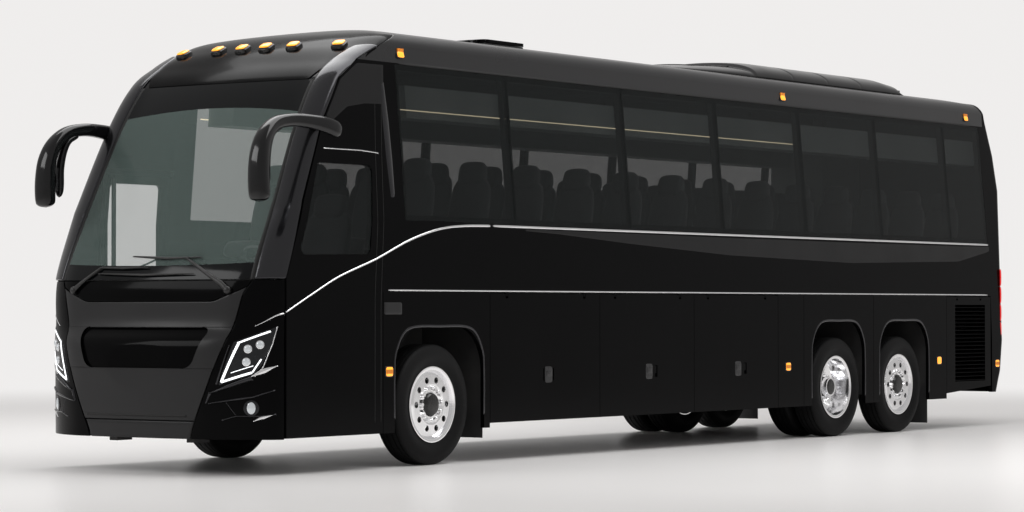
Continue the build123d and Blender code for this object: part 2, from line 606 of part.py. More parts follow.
with BuildPart() as door_arms:
    rod((-ARM_X, at(SHAFT_Y), (390.0 + BEARING_TOP + 45.0) / 2), SHAFT_RADIUS, BEARING_TOP + 45.0 - 390.0, "Z")
    for z in ARM_HEIGHTS:
        box((-ARM_X - 30.0, at(SHAFT_Y), z - 15.0), (-ARM_X + 30.0, at(PIN_Y), z + 15.0))
        rod((-ARM_X, at(PIN_Y), z), 30.0, 30.0, "Z")
        rod((-ARM_X, at(PIN_Y), z), DOOR_PIN + FIT, 40.0, "Z", Mode.SUBTRACT)
write(door_arms, "door_arms")

# ---------------------------------------------------------------- floors, steps and luggage bays
INSIDE = HALF - PANEL                    # inner face of the fixed lower panels
CLEAR_X = INSIDE - 7.0                   # frame edge behind the doors
SILL_X = INSIDE - 30.0                   # steps behind the entrance door, which swings past them
DECK_START = -660.0
STEP_TREADS = [(-SILL_X, 380.0), (-930.0, 630.0), (-690.0, 880.0), (-470.0, CAB_FLOOR)]   # x of the nosing, z
STEP_END = -250.0
STEP_SKIN = 30.0
STEP_SPAN = (-1540.0, -720.0)

with BuildPart() as floor_deck:
    box((-CLEAR_X, at(DECK_START), DECK_TOP - DECK_THICK), (CLEAR_X, at(REAR_SEAM - 10.0), DECK_TOP))
write(floor_deck, "floor_deck")

tread_top = []
tread_under = []
for number, (x, z) in enumerate(STEP_TREADS):
    reach = STEP_TREADS[number + 1][0] if number + 1 < len(STEP_TREADS) else STEP_END
    tread_top += [(x, z), (reach, z)]
    tread_under += [(x + (STEP_SKIN if number else 0.0), z - STEP_SKIN), (reach + (STEP_SKIN if reach < STEP_END else 0.0), z - STEP_SKIN)]
with BuildPart() as cab_floor:
    with BuildSketch(station(at(STEP_SPAN[0]))):
        with BuildLine():
            Polyline(*tread_top, *reversed(tread_under), close=True)
        make_face()
    extrude(amount=-(STEP_SPAN[1] - STEP_SPAN[0]))
    box((STEP_END, at(-2000.0), CAB_FLOOR - STEP_SKIN), (INSIDE, at(DECK_START), CAB_FLOOR))
    box((-SILL_X, at(-2000.0), CAB_FLOOR - STEP_SKIN), (STEP_END, at(STEP_SPAN[0]), CAB_FLOOR))
    box((-SILL_X, at(STEP_SPAN[0]) - 20.0, 350.0), (-475.0, at(STEP_SPAN[0]), CAB_FLOOR))
    box((-475.0, at(STEP_SPAN[0]) - 20.0, 850.0), (STEP_END, at(STEP_SPAN[0]), CAB_FLOOR))
    box((-SILL_X, at(STEP_SPAN[1]), 350.0), (-475.0, at(STEP_SPAN[1]) + 20.0, DECK_TOP - DECK_THICK))
    box((-475.0, at(STEP_SPAN[1]), 850.0), (STEP_END, at(STEP_SPAN[1]) + 20.0, DECK_TOP - DECK_THICK))
    box((-SILL_X, at(STEP_SPAN[1]), DECK_TOP - DECK_THICK - 20.0), (STEP_END, at(DECK_START) + 18.0, DECK_TOP - DECK_THICK))
    box((STEP_END, at(DECK_START), CAB_FLOOR - STEP_SKIN), (INSIDE, at(DECK_START) + 18.0, DECK_TOP - DECK_THICK))
    rod((-ARM_X, at(SHAFT_Y), 402.0), 38.0, 44.0, "Z")
    rod((-ARM_X, at(SHAFT_Y), 404.0), SHAFT_RADIUS + FIT, 42.0, "Z", Mode.SUBTRACT)
write(cab_floor, "cab_floor")

with BuildPart() as luggage_bays:
    box((-CLEAR_X, at(BAY_LINES[0]) - 20.0, SKIRT_Z), (CLEAR_X, at(BAY_LINES[-1]) + 20.0, BAY_FLOOR))
    for line in BAY_LINES:
        box((-CLEAR_X, at(line) - 20.0, BAY_FLOOR), (CLEAR_X, at(line) + 20.0, DECK_TOP - DECK_THICK))
write(luggage_bays, "luggage_bays")

# ---------------------------------------------------------------- chassis frame
RAIL_X = (395.0, 465.0)
RAIL_Z = (640.0, 820.0)
TOW_EYE = (430.0, -2190.0, 255.0, 295.0, 20.0)   # x, y from the front axle, bottom, top, bore radius
CROSS = [-1900.0, -800.0, 600.0, 6150.0, 6480.0, 7860.0]
OUTRIGGERS = [-1900.0, 6150.0, 7860.0]
JACK_PADS = [-1300.0, 6150.0]
with BuildPart() as chassis_frame:
    for side in (1, -1):
        box((side * RAIL_X[0], at(-2330.0), RAIL_Z[0]), (side * RAIL_X[1], at(BAY_LINES[0]) - 20.0, RAIL_Z[1]))
        box((side * RAIL_X[0], at(BAY_LINES[-1]) + 20.0, RAIL_Z[0]), (side * RAIL_X[1], at(10850.0), RAIL_Z[1]))
        box((side * RAIL_X[0], at(TOW_EYE[1]) + 60.0, TOW_EYE[3]), (side * RAIL_X[1], at(TOW_EYE[1]) + 120.0, RAIL_Z[0]))
        box((side * (TOW_EYE[0] - 45.0), at(TOW_EYE[1]) - 60.0, TOW_EYE[2]), (side * (TOW_EYE[0] + 45.0), at(TOW_EYE[1]) + 120.0, TOW_EYE[3]))
        rod((side * TOW_EYE[0], at(TOW_EYE[1]), TOW_EYE[2]), TOW_EYE[4], 200.0, "Z", Mode.SUBTRACT)
        for y in JACK_PADS:
            box((side * 370.0, at(y) - 60.0, 560.0), (side * 490.0, at(y) + 60.0, RAIL_Z[0]))
    box((-700.0, at(-2330.0), 470.0), (700.0, at(-2270.0), RAIL_Z[0]))
    for y in CROSS:
        reach = INSIDE if y in OUTRIGGERS else RAIL_X[0]
        box((-reach, at(y) - 50.0, RAIL_Z[0] + 20.0), (reach, at(y) + 50.0, RAIL_Z[1] - 20.0))
write(chassis_frame, "chassis_frame")

HOUSING = 8.0
FLAPS = {"front": 210.0, "tag": 80.0}    # bottom of the mud flap behind the arch
with BuildPart() as wheel_housings:
    for name, (centre, half_width, top) in ARCHES.items():
        inner = 560.0 if name == "front" else 600.0
        for side in (1, -1):
            reach = half_width + 22.0
            for edge in (-1, 1):
                low = FLAPS.get(name, 430.0) if edge > 0 else 430.0
                box((side * inner, at(centre) + edge * reach, 430.0), (side * INSIDE, at(centre) + edge * (reach + HOUSING), top + 30.0))
                if low < 430.0:
                    box((side * 960.0, at(centre) + edge * reach, low), (side * INSIDE, at(centre) + edge * (reach + HOUSING), 430.0))
            box((side * inner, at(centre) - reach, top + 22.0), (side * INSIDE, at(centre) + reach, top + 30.0))
            box((side * inner, at(centre) - reach, 720.0), (side * (inner + HOUSING), at(centre) + reach, top + 22.0))
write(wheel_housings, "wheel_housings")

# ---------------------------------------------------------------- axles, knuckles and steering
EYE = (440.0, 610.0, 55.0)               # kingpin eye: bottom, top, radius
YOKE = 40.0                              # depth of a yoke arm
YOKE_GAP = 5.0
AXLE_Z = TYRE_RADIUS
SPRING_RADIUS = 105.0
with BuildPart() as front_axle_beam:
    with BuildSketch(station(FRONT_AXLE - 45.0)):
        with BuildLine():
            Polyline((-870.0, 600.0), (-790.0, 600.0), (-640.0, 490.0), (640.0, 490.0), (790.0, 600.0), (870.0, 600.0),
                     (870.0, 450.0), (800.0, 450.0), (640.0, 390.0), (-640.0, 390.0), (-800.0, 450.0), (-870.0, 450.0), close=True)
        make_face()
    extrude(amount=-90.0)
    for side in (1, -1):
        rod((side * KINGPIN_X, FRONT_AXLE, (EYE[0] + EYE[1]) / 2), EYE[2], EYE[1] - EYE[0], "Z")
        rod((side * KINGPIN_X, FRONT_AXLE, (EYE[0] + EYE[1]) / 2), KINGPIN_RADIUS + FIT, 400.0, "Z", Mode.SUBTRACT)
write(front_axle_beam, "front_axle_beam")

TIE_Z = 365.0
TIE_PIN = 12.0
for side, name in ((1, "left"), (-1, "right")):
    with BuildPart() as knuckle:
        for low in (EYE[0] - YOKE_GAP - YOKE, EYE[1] + YOKE_GAP):
            box((side * (KINGPIN_X - 45.0), FRONT_AXLE - 50.0, low), (side * 1000.0, FRONT_AXLE + 50.0, low + YOKE))
        box((side * (KINGPIN_X + EYE[2] + 8.0), FRONT_AXLE - 50.0, EYE[0] - YOKE_GAP - YOKE),
            (side * 1000.0, FRONT_AXLE + 50.0, EYE[1] + YOKE_GAP + YOKE))
        rod((side * KINGPIN_X, FRONT_AXLE, (EYE[0] + EYE[1]) / 2), KINGPIN_RADIUS, EYE[1] - EYE[0] + 2 * (YOKE_GAP + YOKE), "Z")
        rod((side * (1000.0 + SPINDLE_END) / 2, FRONT_AXLE, AXLE_Z), HUB_BORE, SPINDLE_END - 1000.0, "X")
        box((side * (KINGPIN_X - 20.0), FRONT_AXLE + 50.0, 395.0), (side * (KINGPIN_X + 20.0), FRONT_AXLE + TIE_ARM + 20.0, 425.0))
        rod((side * KINGPIN_X, FRONT_AXLE + TIE_ARM, (TIE_Z - 20.0 + 395.0) / 2), TIE_PIN, 395.0 - TIE_Z + 20.0, "Z")
    write(knuckle, f"knuckle_{name}")

TIE_OPEN = 3.0                           # clearance round the pin at the right end
with BuildPart() as tie_rod:
    rod((0, FRONT_AXLE + TIE_ARM, TIE_Z), 18.0, 2 * KINGPIN_X, "X")
    for side in (1, -1):
        rod((side * KINGPIN_X, FRONT_AXLE + TIE_ARM, TIE_Z), 28.0, 40.0, "Z")
        rod((side * KINGPIN_X, FRONT_AXLE + TIE_ARM, TIE_Z), TIE_PIN + (FIT if side > 0 else TIE_OPEN), 60.0, "Z", Mode.SUBTRACT)
write(tie_rod, "tie_rod")

with BuildPart() as drive_axle:
    rod((0, DRIVE_AXLE, AXLE_Z), 70.0, 1380.0, "X")
    rod((0, DRIVE_AXLE, AXLE_Z), HUB_BORE, 2 * 1150.0, "X")
    rod((0, DRIVE_AXLE, AXLE_Z), 190.0, 250.0, "Y")
    for side in (1, -1):
        box((side * RAIL_X[0], DRIVE_AXLE - 480.0, 400.0), (side * RAIL_X[1], DRIVE_AXLE + 480.0, 465.0))
    rod((0, DRIVE_AXLE + 125.0 + 80.0, AXLE_Z), 70.0, 160.0, "Y")
write(drive_axle, "drive_axle")

with BuildPart() as tag_axle_beam:
    rod((0, TAG_AXLE, AXLE_Z), 60.0, 1960.0, "X")
    rod((0, TAG_AXLE, AXLE_Z), HUB_BORE, 2 * SPINDLE_END, "X")
    for side in (1, -1):
        box((side * RAIL_X[0], TAG_AXLE - 480.0, 405.0), (side * RAIL_X[1], TAG_AXLE + 480.0, 470.0))
write(tag_axle_beam, "tag_axle_beam")

with BuildPart() as air_springs:
    for side in (1, -1):
        x = side * (RAIL_X[0] + RAIL_X[1]) / 2
        rod((x, FRONT_AXLE, (490.0 + RAIL_Z[0]) / 2), SPRING_RADIUS, RAIL_Z[0] - 490.0, "Z")
        for axle, seat in ((DRIVE_AXLE, 465.0), (TAG_AXLE, 470.0)):
            for offset in (-360.0, 360.0):
                rod((x, axle + offset, (seat + RAIL_Z[0]) / 2), SPRING_RADIUS, RAIL_Z[0] - seat, "Z")
write(air_springs, "air_springs")

with BuildPart() as engine_block:
    box((-340.0, at(9380.0), 560.0), (340.0, at(10820.0), 1400.0))
    box((-220.0, at(8800.0), 620.0), (220.0, at(9380.0), 1040.0))
    for y in (9600.0, 10500.0):
        box((-RAIL_X[0], at(y) - 60.0, 680.0), (RAIL_X[0], at(y) + 60.0, 760.0))
write(engine_block, "engine_block")

# ---------------------------------------------------------------- wheels and tyres
# tyre section: x from its middle, radius
TYRE_SECTION = [(-100.0, RIM_RADIUS + SEAT_GAP), (100.0, RIM_RADIUS + SEAT_GAP), (107.0, 335.0), (132.0, 385.0), (141.5, 430.0),
                (132.0, 480.0), (116.0, 512.0), (100.0, 523.0), (0.0, TYRE_RADIUS), (-100.0, 523.0), (-116.0, 512.0),
                (-132.0, 480.0), (-141.5, 430.0), (-132.0, 385.0), (-107.0, 335.0)]
BARREL = [(-113.0, 300.0), (-119.0, 322.0), (-119.0, RIM_FLANGE), (-112.0, RIM_FLANGE), (-108.0, RIM_RADIUS), (108.0, RIM_RADIUS),
          (112.0, RIM_FLANGE), (119.0, RIM_FLANGE), (119.0, 322.0), (113.0, 300.0)]
SINGLE_DISC = [(68.0, 301.0), (86.0, 301.0), (108.0, 258.0), (108.0, 178.0), (94.0, 120.0), (94.0, 60.0), (78.0, 60.0), (78.0, 125.0),
               (92.0, 178.0), (92.0, 250.0), (68.0, 285.0)]
DUAL_DISC = [(-108.0, 301.0), (-90.0, 301.0), (-150.0, 240.0), (-150.0, 60.0), (-165.0, 60.0), (-165.0, 250.0)]


def ring(axle, x, side, section):
    """Turn a section about a wheel's axis, in the part being built."""
    with BuildSketch(Plane.XY.offset(AXLE_Z)) as face:
        with BuildLine():
            Polyline(*[(side * (x + dx), axle + radius) for dx, radius in section], close=True)
        make_face()
    return face.sketch


def wheel_hole(axle, x_from, x_to, side, bolt_radius, radius, count, hexagon, mode):
    """Circle of holes or nuts about a wheel's axis."""
    with BuildSketch(Plane(origin=(side * x_from, axle, AXLE_Z), x_dir=(0, 1, 0), z_dir=(side, 0, 0))) as face:
        with PolarLocations(bolt_radius, count):
            if hexagon:
                RegularPolygon(radius, 6)
            else:
                Circle(radius)
    return extrude(face.sketch, amount=x_to - x_from)


for side, name in ((1, "left"), (-1, "right")):
    for place, axle in (("front", FRONT_AXLE), ("tag", TAG_AXLE)):
        turn = Axis((0, axle, AXLE_Z), (1, 0, 0))
        with BuildPart() as tyre:
            revolve(ring(axle, TYRE_X, side, TYRE_SECTION), axis=turn)
        write(tyre, f"{place}_tyre_{name}")
        with BuildPart() as wheel:
            revolve(ring(axle, TYRE_X, side, BARREL), axis=turn)
            revolve(ring(axle, TYRE_X, side, SINGLE_DISC), axis=turn)
            rod((side * (1008.0 + 1200.0) / 2, axle, AXLE_Z), 88.0, 192.0, "X")
            rod((side * (1008.0 + 1050.0) / 2, axle, AXLE_Z), 215.0, 42.0, "X")
            rod((side * (1200.0 + 1236.0) / 2, axle, AXLE_Z), 72.0, 36.0, "X")
            rod((side * (1000.0 + SPINDLE_END + 6.0) / 2, axle, AXLE_Z), HUB_BORE + FIT, SPINDLE_END + 6.0 - 1000.0, "X", Mode.SUBTRACT)
            add(wheel_hole(axle, TYRE_X + 60.0, TYRE_X + 120.0, side, 218.0, 27.0, 10, False, None), mode=Mode.SUBTRACT)
            add(wheel_hole(axle, TYRE_X + 90.0, TYRE_X + 122.0, side, BOLT_CIRCLE, 17.0, LUG_COUNT, True, None))
        write(wheel, f"{place}_wheel_{name}")
    turn = Axis((0, DRIVE_AXLE, AXLE_Z), (1, 0, 0))
    with BuildPart() as tyres:
        for x in (TYRE_X, TYRE_X - DUAL_SPACING):
            revolve(ring(DRIVE_AXLE, x, side, TYRE_SECTION), axis=turn)
    write(tyres, f"drive_tyres_{name}")
    with BuildPart() as wheels:
        for x, facing in ((TYRE_X, 1), (TYRE_X - DUAL_SPACING, -1)):
            revolve(ring(DRIVE_AXLE, x, side, BARREL), axis=turn)
            revolve(ring(DRIVE_AXLE, x, side, [(facing * dx, radius) for dx, radius in DUAL_DISC]), axis=turn)
        rod((side * (800.0 + 1165.0) / 2, DRIVE_AXLE, AXLE_Z), 100.0, 365.0, "X")
        rod((side * (705.0 + 900.0) / 2, DRIVE_AXLE, AXLE_Z), 205.0, 195.0, "X")
        rod((side * (690.0 + 1155.0) / 2, DRIVE_AXLE, AXLE_Z), HUB_BORE + FIT, 465.0, "X", Mode.SUBTRACT)
        add(wheel_hole(DRIVE_AXLE, 925.0, 975.0, side, 205.0, 27.0, 10, False, None), mode=Mode.SUBTRACT)
        add(wheel_hole(DRIVE_AXLE, 945.0, 985.0, side, BOLT_CIRCLE, 17.0, LUG_COUNT, True, None))
    write(wheels, f"drive_wheels_{name}")

# ---------------------------------------------------------------- cabin
# seat side view: y rearwards from the cushion's front, z above its floor
SEAT_SIDE = [(90.0, 0.0), (390.0, 0.0), (390.0, 330.0), (520.0, 350.0), (720.0, 1150.0), (690.0, 1200.0), (620.0, 1190.0),
             (420.0, 500.0), (0.0, 510.0), (0.0, 400.0), (90.0, 370.0)]
SEAT_X = (290.0, 1150.0)
SEAT_PITCH = 835.0
SEAT_START = {1: -420.0, -1: -100.0}
SEAT_ROWS = {1: 13, -1: 11}


def seat(x_from, x_to, y, floor, rise):
    """Seat solid standing on its floor; rise lifts the cushion."""
    with BuildPart() as solid:
        with BuildSketch(flank(x_from)):
            with BuildLine():
                Polyline(*[(y + dy, floor + dz + (rise if dz > 0 else 0.0)) for dy, dz in SEAT_SIDE], close=True)
            make_face()
        extrude(amount=x_to - x_from)
    return solid.part


with BuildPart() as seats:
    for side in (1, -1):
        low, high = sorted((side * SEAT_X[0], side * SEAT_X[1]))
        for row in range(SEAT_ROWS[side]):
            add(seat(low, high, at(SEAT_START[side] + row * SEAT_PITCH), DECK_TOP, 0.0))
    add(seat(440.0, 940.0, at(-1320.0), CAB_FLOOR, 30.0))
write(seats, "seats")

WHEEL_CENTRE = (690.0, at(-1560.0), 1760.0)
WHEEL_TILT = (0.0, 0.5, 0.87)
DASH_SIDE = [(-2020.0, 0.0), (-2020.0, 480.0), (-1900.0, 520.0), (-1760.0, 430.0), (-1740.0, 260.0), (-1860.0, 0.0)]
with BuildPart() as dashboard:
    with BuildSketch(flank(STEP_END + 20.0)):
        with BuildLine():
            Polyline(*[(at(y), CAB_FLOOR + z) for y, z in DASH_SIDE], close=True)
        make_face()
    extrude(amount=1140.0 - STEP_END - 20.0)
    steering_plane = Plane(origin=WHEEL_CENTRE, x_dir=(1, 0, 0), z_dir=WHEEL_TILT)
    with BuildSketch(steering_plane.offset(-12.0)):
        Circle(232.0)
        Circle(206.0, mode=Mode.SUBTRACT)
        Rectangle(430.0, 46.0)
        with Locations((0.0, -106.0)):
            Rectangle(46.0, 212.0)
        Circle(62.0)
    extrude(amount=24.0)
    with BuildSketch(steering_plane.offset(-12.0)):
        Circle(30.0)
    extrude(amount=-345.0)
write(dashboard, "dashboard")

RACK = (820.0, 3010.0, 3290.0)           # inner x, bottom, top
LAVATORY = (-400.0, 9760.0, 10640.0, 3180.0)
with BuildPart() as cabin_fittings:
    for side in (1, -1):
        with BuildSketch(station(at(-250.0))):
            with BuildLine():
                Polyline((side * side_x(RACK[1], WALL), RACK[1]), (side * side_x(RACK[2], WALL), RACK[2]),
                         (side * (RACK[0] + 60.0), RACK[2]), (side * RACK[0], RACK[2] - 90.0), (side * (RACK[0] + 20.0), RACK[1]), close=True)
            make_face()
        extrude(amount=-((LAVATORY[1] if side < 0 else REAR_SEAM) - 30.0 + 250.0))
    box((-1150.0, at(LAVATORY[1]), DECK_TOP), (LAVATORY[0], at(LAVATORY[2]), 2700.0))
    box((-1100.0, at(LAVATORY[1]), 2700.0), (LAVATORY[0], at(LAVATORY[2]), LAVATORY[3]))
write(cabin_fittings, "cabin_fittings")

# ---------------------------------------------------------------- mirrors, wipers and lamps
MIRROR_X = (1215.0, 1300.0)              # arm
MIRROR_HEAD = (1095.0, 1330.0, -2350.0, -2215.0, 2219.0, 2700.0)     # x range, y range, z range
# side view of the arm: y from the front axle, z
MIRROR_ARM = [(-1230.0, 2830.0), (-1230.0, 2930.0), (-1750.0, 2960.0), (-2120.0, 2915.0), (-2270.0, 2800.0), (-2330.0, 2690.0),
              (-2240.0, 2690.0), (-2180.0, 2770.0), (-2060.0, 2840.0), (-1750.0, 2865.0)]
MIRROR_FOOT = 1190.0
with BuildPart() as mirrors:
    for side in (1, -1):
        low, high = sorted((side * MIRROR_X[0], side * MIRROR_X[1]))
        with BuildSketch(flank(low)):
            with BuildLine():
                Polyline(*[(at(y), z) for y, z in MIRROR_ARM], close=True)
            make_face()
        extrude(amount=high - low)
        box((side * MIRROR_FOOT, at(-1420.0), 2835.0), (side * MIRROR_X[0], at(-1230.0), 2925.0))
    head_start = len(mirrors.solids())
    for side in (1, -1):
        with BuildSketch(Plane.XY.offset(MIRROR_HEAD[4])):
            with Locations((side * (MIRROR_HEAD[0] + MIRROR_HEAD[1]) / 2, at((MIRROR_HEAD[2] + MIRROR_HEAD[3]) / 2))):
                RectangleRounded(MIRROR_HEAD[1] - MIRROR_HEAD[0], MIRROR_HEAD[3] - MIRROR_HEAD[2], 50.0)
        extrude(amount=MIRROR_HEAD[5] - MIRROR_HEAD[4])
    for side in (1, -1):
        add(wall_slab(side, 2700.0, 3100.0, 0.0, 200.0, -1500.0, -1000.0), mode=Mode.SUBTRACT)
write(mirrors, "mirrors")

# wiper points in front view, x and z, from the pivot: pivot, elbow, then the blade's two ends
WIPERS = [((842.0, 1527.0), (400.0, 1700.0), (130.0, 1660.0), (760.0, 1700.0)),
          ((-842.0, 1527.0), (-500.0, 1640.0), (-760.0, 1650.0), (-130.0, 1640.0))]


def screen_y(x, z):
    """Y of the nose surface at a place in front view, found on its level table."""
    for lower, upper in zip(NOSE_LEVELS[:-1], NOSE_LEVELS[1:]):
        if lower[0] <= z <= upper[0]:
            share = (z - lower[0]) / (upper[0] - lower[0])
            centre, knuckle_x, knuckle = [lower[i] + share * (upper[i] - lower[i]) for i in (1, 2, 3)]
            return at(centre + (knuckle - centre) * (x / knuckle_x) ** 2)
    raise ValueError(z)


def strut(start, end, radius):
    """Round bar between two points, in the part being built."""
    run = Vector(*end) - Vector(*start)
    with BuildSketch(Plane(origin=start, z_dir=run)) as face:
        Circle(radius)
    return extrude(face.sketch, amount=run.length)


with BuildPart() as wipers:
    for pivot, elbow, tip_a, tip_b in WIPERS:
        places = [Vector(x, screen_y(x, z) - 26.0, z) for x, z in (pivot, elbow, tip_a, tip_b)]
        base, knee, first, last = [tuple(place) for place in places]
        add(strut(base, knee, 9.0))
        add(strut(first, last, 8.0))
        rod((base[0], base[1] + 10.0, base[2]), 22.0, 40.0, "Y")
    add(nose_outer, mode=Mode.SUBTRACT)
write(wipers, "wipers")

ROOF_LAMPS = [(133.0, -924.0, 3604.0), (425.0, -898.0, 3607.0), (880.0, -843.0, 3600.0)]
SIDE_LAMPS = [(-677.0, -648.0, 822.0), (6052.0, 6052.0, 758.0), (10880.0, 10880.0, 720.0)]   # y left, y right, z
EDGE_LAMPS = [(-367.0, 3575.0), (6156.0, 3575.0), (10330.0, 3575.0)]
LAMP_PROUD = 9.0
with BuildPart() as tail_strips:
    for side in (1, -1):
        box((side * TAIL_LAMP[0], at(10900), TAIL_LAMP[2]), (side * TAIL_LAMP[1], at(11300), TAIL_LAMP[3]))
    add(tail_outer, mode=Mode.INTERSECT)
    add(tail_inner, mode=Mode.SUBTRACT)
with BuildPart() as marker_lamps:
    for side in (1, -1):
        for x, y, z in ROOF_LAMPS:
            box((side * (x - 48.0), at(y) - 45.0, z - 40.0), (side * (x + 48.0), at(y) + 60.0, z + 6.0))
        for y_left, y_right, z in SIDE_LAMPS:
            y = y_left if side > 0 else y_right
            box((side * (HALF - 20.0), at(y) - 45.0, z - 18.0), (side * (HALF + LAMP_PROUD), at(y) + 45.0, z + 18.0))
        for y, z in EDGE_LAMPS:
            box((side * (side_x(DRIP_Z) - 30.0), at(y) - 42.0, z - 24.0), (side * (side_x(DRIP_Z) + 4.0), at(y) + 42.0, z + 24.0))
    for solid in (nose_outer, tail_outer, roof_outer):
        add(solid, mode=Mode.SUBTRACT)
    box((-HALF, at(CAP_SEAM), SKIRT_Z), (HALF, at(REAR_SEAM), SEAM_Z), Mode.SUBTRACT)
    add(tail_strips.part)
write(marker_lamps, "marker_lamps")
print("all done")
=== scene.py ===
import math

import bmesh
import bpy
import numpy as np
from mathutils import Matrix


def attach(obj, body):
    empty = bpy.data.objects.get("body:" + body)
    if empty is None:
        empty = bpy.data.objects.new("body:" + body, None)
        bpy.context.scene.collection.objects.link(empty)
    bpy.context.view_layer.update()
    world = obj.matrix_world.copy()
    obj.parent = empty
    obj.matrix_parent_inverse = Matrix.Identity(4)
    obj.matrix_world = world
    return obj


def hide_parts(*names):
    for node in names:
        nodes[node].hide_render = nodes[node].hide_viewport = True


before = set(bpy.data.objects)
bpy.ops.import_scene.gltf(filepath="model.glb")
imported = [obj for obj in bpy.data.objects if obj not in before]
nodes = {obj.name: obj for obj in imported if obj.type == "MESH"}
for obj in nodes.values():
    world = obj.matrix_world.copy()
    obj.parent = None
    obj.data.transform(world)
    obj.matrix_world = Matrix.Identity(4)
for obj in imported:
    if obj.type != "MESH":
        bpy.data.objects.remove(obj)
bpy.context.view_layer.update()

front_axle_y = -4.345
drive_axle_y = 2.795
tag_axle_y = 4.200
axle_z = 0.525

# ------------------------------------------------------------------ studio
# A pale floor in an even pale surround, lit by a broad lamp overhead and a smaller one over the nose. Far
# out the floor fades into the surround. None of it belongs to the coach.
bpy.context.scene.view_settings.view_transform = "Standard"
lens = bpy.data.cameras.new("camera")
lens.lens = 105.47
lens.sensor_width = 36.0
lens.clip_end = 300.0
camera = bpy.data.objects.new("camera", lens)
bpy.context.scene.collection.objects.link(camera)
camera.location = (16.884, -25.213, 1.348)
camera.rotation_euler = (math.radians(90.0) + 0.017878, 0.0007, 0.617186)
bpy.context.scene.camera = camera


def node(owner, kind, settings=(), **values):
    """New shader node of a material or world, with its settings and its sockets' values (_ stands for
    a space)."""
    made = owner.node_tree.nodes.new("ShaderNode" + kind)
    for key, value in dict(settings).items():
        setattr(made, key, value)
    for key, value in values.items():
        made.inputs[key.replace("_", " ")].default_value = value
    return made


def wire(owner, source, output, target, socket):
    """Link between two shader nodes."""
    owner.node_tree.links.new(source.outputs[output], target.inputs[socket])


# The surround shows at full strength to the camera and through glass. It lights the coach, and shows in its
# reflections, at a lower one.
surround = (0.866, 0.851, 0.843, 1.0)
lighting_strength, mirrored_strength = 0.62, -0.10
world = bpy.data.worlds.new("studio_air")
bpy.context.scene.world = world
world.use_nodes = True
world.node_tree.nodes.clear()
ray = node(world, "LightPath")
seen = node(world, "Math", {"operation": "MAXIMUM"})
mirrored = node(world, "Math", {"operation": "MULTIPLY"})
mirrored.inputs[1].default_value = mirrored_strength
shown = node(world, "Math", {"operation": "ADD"})
strength = node(world, "MapRange", {"clamp": False}, To_Min=lighting_strength, To_Max=1.0)
sky = node(world, "Background", Color=surround)
wire(world, ray, "Is Camera Ray", seen, 0)
wire(world, ray, "Is Transmission Ray", seen, 1)
wire(world, ray, "Is Glossy Ray", mirrored, 0)
wire(world, seen, 0, shown, 0)
wire(world, mirrored, 0, shown, 1)
wire(world, shown, 0, strength, "Value")
wire(world, strength, "Result", sky, "Strength")
wire(world, sky, 0, node(world, "OutputWorld"), "Surface")


def grid_faces(rows, cols, closed):
    """Quads of a rows x cols grid of points, whose last column joins the first if closed."""
    i, j = np.meshgrid(np.arange(rows - 1), np.arange(cols if closed else cols - 1), indexing="ij")
    i, j = i.ravel(), j.ravel()
    right = (j + 1) % cols
    return np.stack([i * cols + j, i * cols + right, (i + 1) * cols + right, (i + 1) * cols + j], axis=1)


def piece(name, patches, finishes, sharp=35.0):
    """One mesh object from a list of patches.

    A patch is (points on a rows x cols grid, finish number). A third entry, True, closes its rows into
    rings, and a fourth gives the grid's u and v in the piece's own UV map. Points that fall together are
    welded.
    """
    vertices, faces, finish_of, coords = [], [], [], []
    count = 0
    for points, finish, *more in patches:
        rows, cols = points.shape[:2]
        quads = grid_faces(rows, cols, bool(more))
        vertices.append(points.reshape(-1, 3))
        faces.append(quads + count)
        finish_of.append(np.full(len(quads), finish))
        coords.append(more[1].reshape(-1, 2) if len(more) > 1 else np.zeros((rows * cols, 2)))
        count += rows * cols
    vertices, faces, coords = np.concatenate(vertices), np.concatenate(faces), np.concatenate(coords)
    mesh = bpy.data.meshes.new(name)
    mesh.vertices.add(len(vertices))
    mesh.vertices.foreach_set("co", vertices.astype(np.float32).ravel())
    mesh.loops.add(faces.size)
    mesh.loops.foreach_set("vertex_index", faces.astype(np.int32).ravel())
    mesh.polygons.add(len(faces))
    mesh.polygons.foreach_set("loop_start", np.arange(0, faces.size, 4, dtype=np.int32))
    mesh.polygons.foreach_set("loop_total", np.full(len(faces), 4, dtype=np.int32))
    mesh.polygons.foreach_set("material_index", np.concatenate(finish_of).astype(np.int32))
    mesh.uv_layers.new(name="surface")
    mesh.uv_layers[0].data.foreach_set("uv", coords[faces.ravel()].astype(np.float32).ravel())
    for finish in finishes:
        mesh.materials.append(finish)
    mesh.update(calc_edges=True)
    welded = bmesh.new()
    welded.from_mesh(mesh)
    bmesh.ops.remove_doubles(welded, verts=welded.verts, dist=2e-6)
    welded.to_mesh(mesh)
    welded.free()
    mesh.shade_smooth()
    mesh.set_sharp_from_angle(angle=math.radians(sharp))
    made = bpy.data.objects.new(name, mesh)
    bpy.context.scene.collection.objects.link(made)
    return made


def base(material):
    """The material's Principled shader."""
    return material.node_tree.nodes["Principled BSDF"]


def shader(name, colour, roughness, metallic=0.0, **sockets):
    """New material with one Principled shader, whose other sockets are given by name (_ stands for a
    space)."""
    made = bpy.data.materials.new(name)
    made.use_nodes = True
    given = {"Base_Color": (*colour, 1.0), "Roughness": roughness, "Metallic": metallic, **sockets}
    for socket, value in given.items():
        base(made).inputs[socket.replace("_", " ")].default_value = value
    made.diffuse_color = (*colour, 1.0)
    return made


